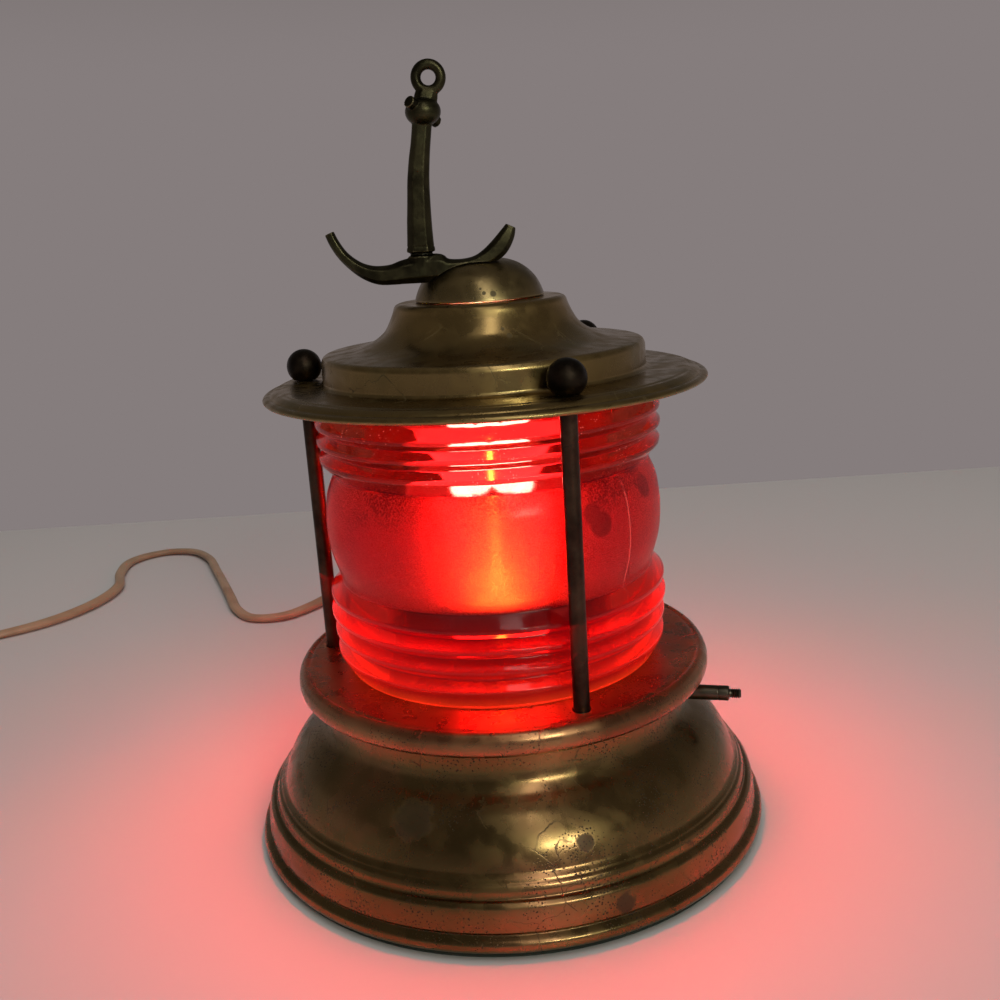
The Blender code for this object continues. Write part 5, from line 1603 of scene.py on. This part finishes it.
@dataclass
class Anchor(Assembly):
    """Cast anchor: arms, shank, boss, stock and eye in one.

    Its own places are counted from the lowest point between its arms.
    """

    crown: Corner = (-14.2, -7.0, 154.25)  # where that point is on the lamp
    # Sideways place, height, half-width and half-depth of points along each bar.
    arms: Sequence[tuple[float, ...]] = (
        (-22.99, 13.80, 1.24, 1.17), (-21.87, 11.09, 1.31, 1.56), (-19.93, 7.98, 1.37, 1.87),
        (-17.20, 5.32, 1.59, 2.13), (-14.34, 3.54, 1.97, 2.34), (-11.13, 2.59, 2.39, 2.50),
        (-7.58, 2.59, 2.62, 2.60), (-3.82, 3.15, 3.15, 2.60), (3.77, 3.61, 3.61, 2.60),
        (6.66, 3.34, 2.45, 2.60), (10.42, 3.67, 1.82, 2.55), (13.90, 4.28, 1.79, 2.44),
        (16.91, 5.53, 2.14, 2.26), (19.93, 7.72, 2.43, 2.03), (22.09, 10.57, 2.05, 1.66),
        (23.30, 12.93, 1.35, 1.25),
    )
    shank: Sequence[tuple[float, ...]] = (
        (0.00, 2.08, 3.65, 2.50), (0.00, 7.90, 3.65, 2.50), (0.00, 9.98, 3.41, 2.42),
        (0.12, 14.98, 3.18, 2.33), (0.37, 19.97, 2.96, 2.25), (0.65, 24.96, 2.81, 2.17),
        (1.24, 29.95, 2.65, 2.10), (2.02, 34.74, 2.48, 2.05), (3.10, 41.60, 2.55, 2.00),
        (4.03, 44.72, 2.92, 1.80), (4.65, 46.38, 2.63, 1.50),
    )
    bar_section: Sequence[Pair] = (
        (1.0, 0.16), (0.93, 0.42), (0.50, 0.94), (-0.50, 0.94), (-0.93, 0.42), (-1.0, 0.16),
        (-1.0, -0.16), (-0.93, -0.42), (-0.50, -0.94), (0.50, -0.94), (0.93, -0.42),
        (1.0, -0.16),
    )
    boss: Corner = (3.1, 0.0, 41.6)
    boss_size: Corner = (9.0, 8.4, 7.0)
    stock_radius: float = 1.5
    stock_length: float = 11.2
    stock_lean: float = 24.0  # in degrees, as its turn is
    stock_turn: float = 38.0
    eye: Corner = (5.0, 0.0, 49.5)
    eye_radius: float = 3.1
    eye_gauge: float = 1.3
    grain: float = 0.22  # voxel that the parts are fused at
    saddle_gap: float = 0.3  # between the anchor and the dome

    def branch(self, name: str, line: Sequence[tuple[float, ...]]) -> Thing:
        """Run a bevelled bar along a line.

        Args:
            name: of the bar.
            line: sideways place, height, half-width and half-depth of points, in millimetres.

        Returns:
            The bar as a mesh.
        """
        section = Bench.path([Vector((b, a, 0.0)) for a, b in self.bar_section], closed=True)
        fine = Route.smooth([Vector((x, 0.0, z)) for x, z, _, _ in line], 4)
        widths = Route.smooth([Vector((wide, deep, 0.0)) for _, _, wide, deep in line], 4)
        bar = Bench.path(fine)
        for point, width in zip(bar.data.splines[0].points, widths):
            point.radius = width.x
        bar.data.twist_mode = "Z_UP"
        bar.data.bevel_mode = "OBJECT"
        bar.data.bevel_object = section
        bar.data.use_fill_caps = True
        bpy.ops.object.convert(target="MESH")
        bpy.data.objects.remove(section, do_unlink=True)
        for vertex in bar.data.vertices:
            flat = Vector((vertex.co.x, 0.0, vertex.co.z)) / MM
            near = min(range(len(fine)), key=lambda index: (fine[index] - flat).length_squared)
            vertex.co.y *= widths[near].y / widths[near].x
        return Bench.named(name)

    def build(self) -> None:
        """Make the anchor and fuse its parts into one casting."""
        arms = self.branch("anchor_arms", self.arms)
        shank = self.branch("anchor_shank", self.shank)
        Bench.clear()
        bpy.ops.mesh.primitive_uv_sphere_add(segments=32, ring_count=16, radius=0.5 * MM)
        boss = bpy.context.object
        boss.scale = self.boss_size
        boss.location = Vector(self.boss) * MM
        Bench.clear()
        bpy.ops.mesh.primitive_cylinder_add(
            vertices=24, radius=self.stock_radius * MM, depth=self.stock_length * MM,
        )
        stock = bpy.context.object
        lean, turn = math.radians(self.stock_lean), math.radians(self.stock_turn)
        stock.rotation_euler = (math.pi / 2 - lean, 0.0, -turn)
        stock.location = Vector(self.boss) * MM
        Bench.clear()
        bpy.ops.mesh.primitive_torus_add(
            major_radius=self.eye_radius * MM, minor_radius=self.eye_gauge * MM,
            major_segments=48, minor_segments=16,
        )
        eye = bpy.context.object
        eye.rotation_euler = (math.pi / 2, 0.0, 0.0)
        eye.location = Vector(self.eye) * MM
        anchor = Bench.join("cast_anchor", arms, shank, boss, stock, eye)
        Bench.place(anchor, Matrix.Translation(Vector(self.crown) * MM))
        Bench.apply(anchor, "REMESH", mode="VOXEL", voxel_size=self.grain * MM)
        Bench.apply(anchor, "SMOOTH", factor=0.5, iterations=2)
        gap = self.saddle_gap
        saddle = [(radius + gap if radius else 0.0, height + gap)
                  for radius, height in Canopy.dome]
        line = [(0, 149.0), (17.5, 149.0), *Outline.curved(saddle, 3)]
        Bench.cut(anchor, Bench.turned("saddle_cutter", line, 64))
        Bench.finish_mesh(anchor, 60.0)
        self.dress(anchor, ANCHOR_BRONZE, Body.LAMP, "anchor")


@dataclass
class Light(Assembly):
    """Bulb, its socket, the bracket that carries it, and the switch shaft."""

    envelope: Sequence[Pair] = (
        (12.2, 66.1), (12.2, 72.7), (13.6, 80.5), (16.7, 88.4), (20.5, 96.3), (22.9, 102.9),
        (23.8, 108.8), (23.1, 115.4), (20.7, 121.9), (16.2, 127.2), (9.5, 130.5), (0.0, 131.8),
    )

    wall: float = 0.6  # of the envelope's side; its ends are thinner
    end_wall: float = 0.35
    screw_base: Sequence[Pair] = (
        (12.6, 70.2), (12.6, 71.1), (12.3, 71.1), (11.9, 69.0), (11.7, 54.0), (10.2, 50.0),
        (8.2, 49.8), (8.2, 49.2),
    )
    stem: Sequence[Pair] = (
        (0.0, 66.5), (8.5, 66.5), (8.3, 68.2), (4.5, 70.2), (2.0, 73.0), (1.1, 77.0),
        (0.8, 84.0), (0.8, 93.0), (0.6, 95.5), (0.0, 96.0),
    )
    filament_radius: float = 9.0
    filament_height: float = 113.5
    filament_wave: float = 1.4
    filament_gauge: float = 2.2
    filament_span: Pair = (-240.0, 60.0)  # in degrees
    filament_points: int = 72

    def make_filament(self) -> Thing:
        """Bend the filament into an open ring that rises and falls.

        Returns:
            The filament.
        """
        first, last = self.filament_span
        points: list[Vector] = []
        for number in range(self.filament_points + 1):
            share = number / self.filament_points
            turn = math.radians(first + (last - first) * share)
            lift = self.filament_wave * math.cos(math.pi * number / 6)
            points.append(Vector((
                self.filament_radius * math.cos(turn), self.filament_radius * math.sin(turn),
                self.filament_height + lift,
            )))
        coil = Bench.path(points)
        coil.data.bevel_depth = self.filament_gauge * MM
        coil.data.bevel_resolution = 2
        bpy.ops.object.convert(target="MESH")
        return Bench.finish_mesh(Bench.named("bulb_filament"))

    def make_bulb(self) -> None:
        """Frosted bulb with its screw base, and the lit stem and filament inside."""
        outer = Outline.curved(self.envelope, 4)
        inner = [(max(0.0, radius - self.wall), height - (0.0 if radius > 20 else self.end_wall))
                 for radius, height in outer]
        glass = Bench.turned("bulb_envelope", outer + inner[::-1] + [outer[0]], 64)
        self.dress(Bench.finish_mesh(glass), BULB_GLASS, Body.BULB, "bulb_glass")
        line = [(8.2, 49.2), (10.5, 49.2), (11.9, 51.5), (12.1, 54.0)]
        line += [*Outline.threaded(13.0, 0.9, 54.0, 69.0, 3.6), *self.screw_base]
        shell = Bench.finish_mesh(Bench.turned("bulb_screw_base", line, 64))
        self.dress(shell, SOCKET_BRASS, Body.BULB, "bulb_base")
        self.keep("bulb_tip", BLACK)
        stem = Bench.turned("bulb_stem", self.stem, 32)
        self.dress(Bench.finish_mesh(stem), STEM_GLOW, Body.BULB)
        self.dress(self.make_filament(), FILAMENT, Body.BULB)

    def make_shaft(self) -> None:
        """Switch shaft with its shoulder and bare threaded tip."""
        line = [(0.0, 6.0), (2.08, 6.0), *Outline.rounded((
            (2.08, 6.1, 0), (2.08, 60.9, 0.1), (2.02, 61.1, 0.1), (2.08, 61.3, 0.1),
            (2.08, 63.8, 0.1), (1.75, 64.1, 0.1), (1.2, 64.1, 0.1), (1.15, 64.6, 0),
        ), 3), *Outline.threaded(1.4, 0.3, 64.7, 67.0, 0.64), (1.1, 67.3), (0.0, 67.3)]
        shaft = Bench.turned("turn_shaft", line, 40)
        Bench.lay(shaft, SHAFT_AZIMUTH, SHAFT_HEIGHT)
        self.dress(Bench.finish_mesh(shaft), SHAFT_STEEL, Body.SWITCH, "switch_shaft")

    def build(self) -> None:
        """Make the bulb and shaft, and dress the socket's own parts."""
        self.make_bulb()
        self.make_shaft()
        for node, finish in (
            ("socket_bracket", ZINC), ("nipple", ZINC), ("lock_nut", ZINC),
            ("socket_cap", SOCKET_BRASS), ("socket_shell", SOCKET_BRASS),
            ("socket_sleeve", FIBRE), ("socket_body", BLACK), ("screw_shell", SOCKET_BRASS),
            ("centre_contact", SOCKET_BRASS), ("terminal_screw_1", SOCKET_BRASS),
            ("terminal_screw_2", SOCKET_BRASS), ("inner_lead", CORD_SKIN),
        ):
            self.keep(node, finish)


@dataclass
class Cord(Assembly):
    """Flat two-core supply cord with its relief, coil, tie and plug."""

    width: float = 4.8
    thickness: float = 2.8
    relief_root: float = 72.88  # distance from the lamp's axis, as the relief's front is
    relief_front: float = 95.88
    relief_rings: int = 7
    ring_pitch: float = 2.6
    ring_taper: float = 0.13
    rest_height: float = 2.4  # of the middle of the cord as it lies on the table
    hidden: float = 14.0  # length inside the relief
    straight: float = 4.4  # length in front of it
    falling: float = 30.0  # length over which the cord comes down
    falls: Sequence[Pair] = ((0.25, 0.125), (0.5, 0.5), (0.75, 0.875), (1.0, 1.0))
    step: float = 2.4  # between two rings of the cord's mesh
    waist: float = 0.12  # least half-thickness between the two cores
    floor_gap: float = 0.12  # between the cord and the table
    coil_gap: float = 0.15  # that the coil lies higher
    section_points: int = 20
    route: Sequence[Pair] = (
        (-25.5, 149.0), (-30.5, 170.0), (-43.0, 192.0), (-61.0, 200.0), (-76.0, 193.0),
        (-86.0, 179.0), (-97.0, 168.5), (-111.0, 169.0), (-121.0, 181.0), (-128.0, 199.0),
        (-136.0, 220.0), (-145.0, 243.0), (-154.0, 265.0), (-167.0, 281.0), (-185.0, 283.0),
        (-197.0, 269.0), (-196.0, 247.0), (-190.0, 224.0), (-195.0, 199.0), (-212.0, 177.0),
        (-242.0, 162.0), (-277.0, 156.3),
    )
    coil_centre: Pair = (-300.0, 185.0)
    coil_radius: float = 29.0
    coil_pitch: float = 5.0
    coil_turns: int = 8
    layer_turns: int = 2
    turn_points: int = 24
    tail: Sequence[Corner] = (
        (-313.0, 155.6, 16.6), (-322.0, 154.0, 13.4), (-331.0, 151.6, 8.8),
        (-338.7, 150.0, 7.0), (-350.0, 150.0, 7.0),
    )
    tie_size: Corner = (9.0, 9.3, 20.0)
    tie_from_centre: float = 23.65
    tie_height: float = 10.1
    plug_centre: Corner = (-378.0, 150.0, 7.0)
    plug_size: Corner = (8.0, 23.0, 13.2)
    # How far each step of the plug reaches, and its width and height as shares of the last.
    plug_steps: Sequence[Corner] = (
        (7.0, 1.0, 1.0), (6.0, 0.97, 0.97), (5.0, 0.86, 0.88), (2.0, 0.62, 0.66),
        (8.0, 0.60, 0.82), (12.0, 0.84, 0.90),
    )
    blade_size: Corner = (21.0, 1.5, 6.3)
    blade_gap: float = 6.35  # from the plug's middle to each blade
    blade_hole: float = 1.6

    @staticmethod
    def outward(radius: float, height: float = CORD_HEIGHT) -> Vector:
        """A place on the cord's way out of the base, in millimetres."""
        turn = math.radians(CORD_AZIMUTH)
        return Vector((radius * math.cos(turn), radius * math.sin(turn), height))

    def coil_line(self) -> list[Vector]:
        """Loops that spiral in and out, and climb where they reverse.

        Returns:
            The coil's points in millimetres.
        """
        points: list[Vector] = []
        layers = self.coil_turns // self.layer_turns
        for number in range(self.coil_turns * self.turn_points + 1):
            turn = number / self.turn_points
            layer = min(int(turn / self.layer_turns), layers - 1)
            into = turn - self.layer_turns * layer
            inward = into if layer % 2 == 0 else self.layer_turns - into
            climb = sum(
                min(1.0, max(0.0, 2 * (turn - self.layer_turns * back) + 0.5))
                for back in range(1, layers)
            )
            angle = -0.5 * math.pi - math.tau * turn
            radius = self.coil_radius - self.coil_pitch * inward
            points.append(Vector((
                self.coil_centre[0] + radius * math.cos(angle),
                self.coil_centre[1] + radius * math.sin(angle),
                self.rest_height + self.coil_gap + self.coil_pitch * climb,
            )))
        return points

    def line(self) -> tuple[list[Vector], float, float]:
        """The cord's whole route.

        Returns:
            Its points in millimetres, and the distances where its coil starts and ends.
        """
        drop = CORD_HEIGHT - self.rest_height
        start = self.relief_front - self.hidden
        free = self.relief_front + 0.3 + self.straight
        places = [self.outward(reach) for reach in (start, start + 7, self.relief_front, free)]
        for share, fall in self.falls:
            places.append(self.outward(free + self.falling * share, CORD_HEIGHT - fall * drop))
        places += [Vector((x, y, self.rest_height)) for x, y in self.route]
        run = Route.smooth(places, 6)
        coil = self.coil_line()
        tail = Route.smooth([coil[-1], *(Vector(spot) for spot in self.tail)], 4)
        before = Route.length([*run, coil[0]])
        line = Route.even(run + coil + tail[1:], self.step)
        return line, before, before + Route.length(coil)

    def lean(self, distance: float, start: float, end: float) -> float:
        """How far the flat cord stands on edge.

        Args:
            distance: along the cord.
            start: distance where the coil starts.
            end: distance where it ends.

        Returns:
            An angle in radians: upright in the coil, and rolling a little elsewhere.
        """
        rolling, back, flat, wave = 30, 12, 60, 46.0
        if start - rolling < distance < end + back:
            into = (distance - start + rolling) / rolling
            return 0.5 * math.pi * min(1.0, into, (end + back - distance) / back)
        calm = min(1.0, max(0.0, (distance - flat) / flat))
        return 0.5 * math.sin((distance - flat) / wave) * calm

    def section(self) -> list[Pair]:
        """Outline across the flat cord: two cores side by side, with a waist.

        Returns:
            Places across the cord, in millimetres.
        """
        lobe, apart = 0.5 * self.thickness, 0.5 * (self.width - self.thickness)
        section: list[Pair] = []
        for step in range(self.section_points):
            turn = math.tau * (step + 0.5) / self.section_points
            across = 0.5 * self.width * math.cos(turn)
            rise = math.sqrt(max(0.0, lobe**2 - (abs(across) - apart) ** 2))
            section.append((across, math.copysign(max(rise, self.waist), math.sin(turn))))
        return section

    def make_cord(self) -> tuple[Thing, list[Vector]]:
        """Sweep the cord's section along its route.

        Returns:
            The cord, and the points in millimetres that it follows.
        """
        points, start, end = self.line()
        section = self.section()
        vertices: list[Vector] = []
        step_length = (points[1] - points[0]).length
        for index, point in enumerate(points):
            ahead = points[min(index + 1, len(points) - 1)] - points[max(index - 1, 0)]
            ahead.normalize()
            side = ahead.cross(Vector((0, 0, 1))).normalized()
            upward = side.cross(ahead).normalized()
            turn = self.lean(index * step_length, start, end)
            wide = side * math.cos(turn) + upward * math.sin(turn)
            thin = upward * math.cos(turn) - side * math.sin(turn)
            centre = point.copy()
            if centre.z < self.rest_height + 0.05:
                upright, level = abs(math.sin(turn)), abs(math.cos(turn))
                half = 0.5 * (upright * self.width + level * self.thickness)
                centre.z = half + self.floor_gap
            vertices += [centre + wide * across + thin * rise for across, rise in section]
        count = len(section)
        faces = [
            (ring * count + corner, ring * count + (corner + 1) % count,
             (ring + 1) * count + (corner + 1) % count, (ring + 1) * count + corner)
            for ring in range(len(points) - 1) for corner in range(count)
        ]
        faces += [tuple(range(count))[::-1],
                  tuple(range((len(points) - 1) * count, len(points) * count))]
        mesh = bpy.data.meshes.new("flat_cord")
        mesh.from_pydata([vertex * MM for vertex in vertices], [], faces)
        cord = bpy.data.objects.new("flat_cord", mesh)
        bpy.context.collection.objects.link(cord)
        Bench.pick(cord)
        bpy.ops.object.mode_set(mode="EDIT")
        Bench.heal()
        Bench.finish_mesh(cord, 50.0)
        return cord, points

    def make_relief(self) -> Thing:
        """Tapered rubber relief with grip rings.

        Returns:
            The relief.
        """
        line: list[Pair] = [(2.9, 66.0), (4.2, 66.0), (4.2, 67.0), (3.3, 67.3), (3.3, 72.7)]
        root = self.relief_root
        line += Outline.rounded(((3.3, root, 0), (4.8, root, 0.3), (4.8, root + 1.6, 0.4),
                                 (4.25, root + 2.4, 0.3)), 3)[1:]
        for ring in range(self.relief_rings):
            near = root + 3.4 + ring * self.ring_pitch
            radius = 4.2 - ring * self.ring_taper
            line += [(radius, near), (radius, near + 1.5), (radius - 0.45, near + 1.8),
                     (radius - 0.5, near + 2.3)]
        front = self.relief_front
        line += [(3.1, front - 0.4), (2.9, front), (2.6, front), (2.6, 66.0), (2.9, 66.0)]
        relief = Bench.turned("cord_relief", line, 32)
        Bench.lay(relief, CORD_AZIMUTH, CORD_HEIGHT)
        return self.dress(Bench.finish_mesh(relief), RUBBER, Body.LAMP, "cord_bush")

    def make_tie(self) -> Thing:
        """Band that holds the coil together.

        Returns:
            The band.
        """
        Bench.clear()
        bpy.ops.mesh.primitive_cube_add(size=1.0, location=(0, 0, 0))
        tie = Bench.named("coil_tie")
        tie.scale = Vector(self.tie_size) * MM
        x, y = self.coil_centre
        tie.location = Vector((x, y + self.tie_from_centre, self.tie_height)) * MM
        bpy.ops.object.transform_apply(location=True, rotation=True, scale=True)
        bpy.ops.object.mode_set(mode="EDIT")
        bpy.ops.mesh.select_mode(type="FACE")
        bpy.ops.mesh.select_all(action="DESELECT")
        bpy.ops.object.mode_set(mode="OBJECT")
        for face in tie.data.polygons:
            face.select = abs(face.normal.x) > 0.9
        bpy.ops.object.mode_set(mode="EDIT")
        bpy.ops.mesh.delete(type="FACE")
        bpy.ops.mesh.select_mode(type="VERT")
        bpy.ops.object.mode_set(mode="OBJECT")
        Bench.apply(tie, "BEVEL", width=1.4 * MM, segments=4, limit_method="ANGLE")
        Bench.apply(tie, "SOLIDIFY", thickness=0.4 * MM, offset=-1.0)
        self.dress(Bench.finish_mesh(tie), BLACK, Body.LAMP)
        return tie

    def make_plug(self) -> list[Thing]:
        """Moulded plug with grips and two drilled blades.

        Returns:
            The plug and its blades.
        """
        Bench.clear()
        bpy.ops.mesh.primitive_cube_add(size=1.0, enter_editmode=True)
        bpy.ops.transform.resize(value=Vector(self.plug_size) * MM)
        bpy.ops.object.mode_set(mode="OBJECT")
        plug = Bench.named("plug_moulding")
        for reach, wide, tall in self.plug_steps:
            self.extend(plug, reach, wide, tall)
        Bench.apply(
            plug, "BEVEL", width=1.6 * MM, segments=3, limit_method="ANGLE", angle_limit=1.1,
        )
        Bench.apply(plug, "SUBSURF", levels=2, render_levels=2)
        x, y, z = self.plug_centre
        Bench.place(plug, Matrix.Translation(((x - 11.0) * MM, y * MM, z * MM)))
        self.dress(Bench.finish_mesh(plug, 40.0), CORD_SKIN, Body.LAMP, "plug_body")
        blades: list[Thing] = []
        for number, side in ((1, -self.blade_gap), (2, self.blade_gap)):
            Bench.clear()
            bpy.ops.mesh.primitive_cube_add(size=1.0)
            blade = Bench.named(f"drilled_blade_{number}")
            blade.scale = Vector(self.blade_size) * MM
            blade.location = Vector((x - 20.5, y + side, z)) * MM
            bpy.ops.object.transform_apply(location=True, rotation=True, scale=True)
            Bench.clear()
            bpy.ops.mesh.primitive_cylinder_add(
                vertices=24, radius=self.blade_hole * MM, depth=6 * MM,
            )
            drill = bpy.context.object
            drill.rotation_euler = (math.pi / 2, 0, 0)
            drill.location = Vector((x - 28.0, y + side, z)) * MM
            Bench.cut(blade, drill)
            Bench.apply(blade, "BEVEL", width=0.3 * MM, segments=2, limit_method="ANGLE")
            self.dress(Bench.finish_mesh(blade), SOCKET_BRASS, Body.LAMP, f"plug_blade_{number}")
            blades.append(blade)
        return [plug, *blades]

    def extend(self, thing: Thing, reach: float, wide: float, tall: float) -> None:
        """Draw the face that looks along +X out, and scale it.

        Args:
            thing: what is extended.
            reach: how far in millimetres.
            wide: new width as a share of the old.
            tall: new height as a share of the old.
        """
        Bench.pick(thing)
        bpy.ops.object.mode_set(mode="EDIT")
        bpy.ops.mesh.select_all(action="DESELECT")
        bpy.ops.object.mode_set(mode="OBJECT")
        last = max(thing.data.polygons, key=lambda face: face.center.x + 9 * (face.normal.x > 0.99))
        last.select = True
        bpy.ops.object.mode_set(mode="EDIT")
        bpy.ops.mesh.extrude_region_move(TRANSFORM_OT_translate={"value": (reach * MM, 0, 0)})
        bpy.ops.transform.resize(value=(1.0, wide, tall))
        bpy.ops.object.mode_set(mode="OBJECT")

    def build(self) -> None:
        cord, points = self.make_cord()
        relief = self.make_relief()
        tie = self.make_tie()
        plug = self.make_plug()
        self.dress(cord, CORD_SKIN, Body.LAMP, "cord_run", "cord_coil", "cord_tail")
        length = Route.length(points) * MM


def main() -> None:
    """Set the studio up, then make every assembly in order."""
    logging.basicConfig(level=logging.INFO, format="%(message)s")
    Studio().build()
    for assembly in (Cord(), Base(), Rods(), Globe(), Canopy(), Anchor(), Light()):
        assembly.build()
        LOG.info("%s: %d pieces", type(assembly).__name__, len(assembly.made))


if __name__ == "__main__":
    main()
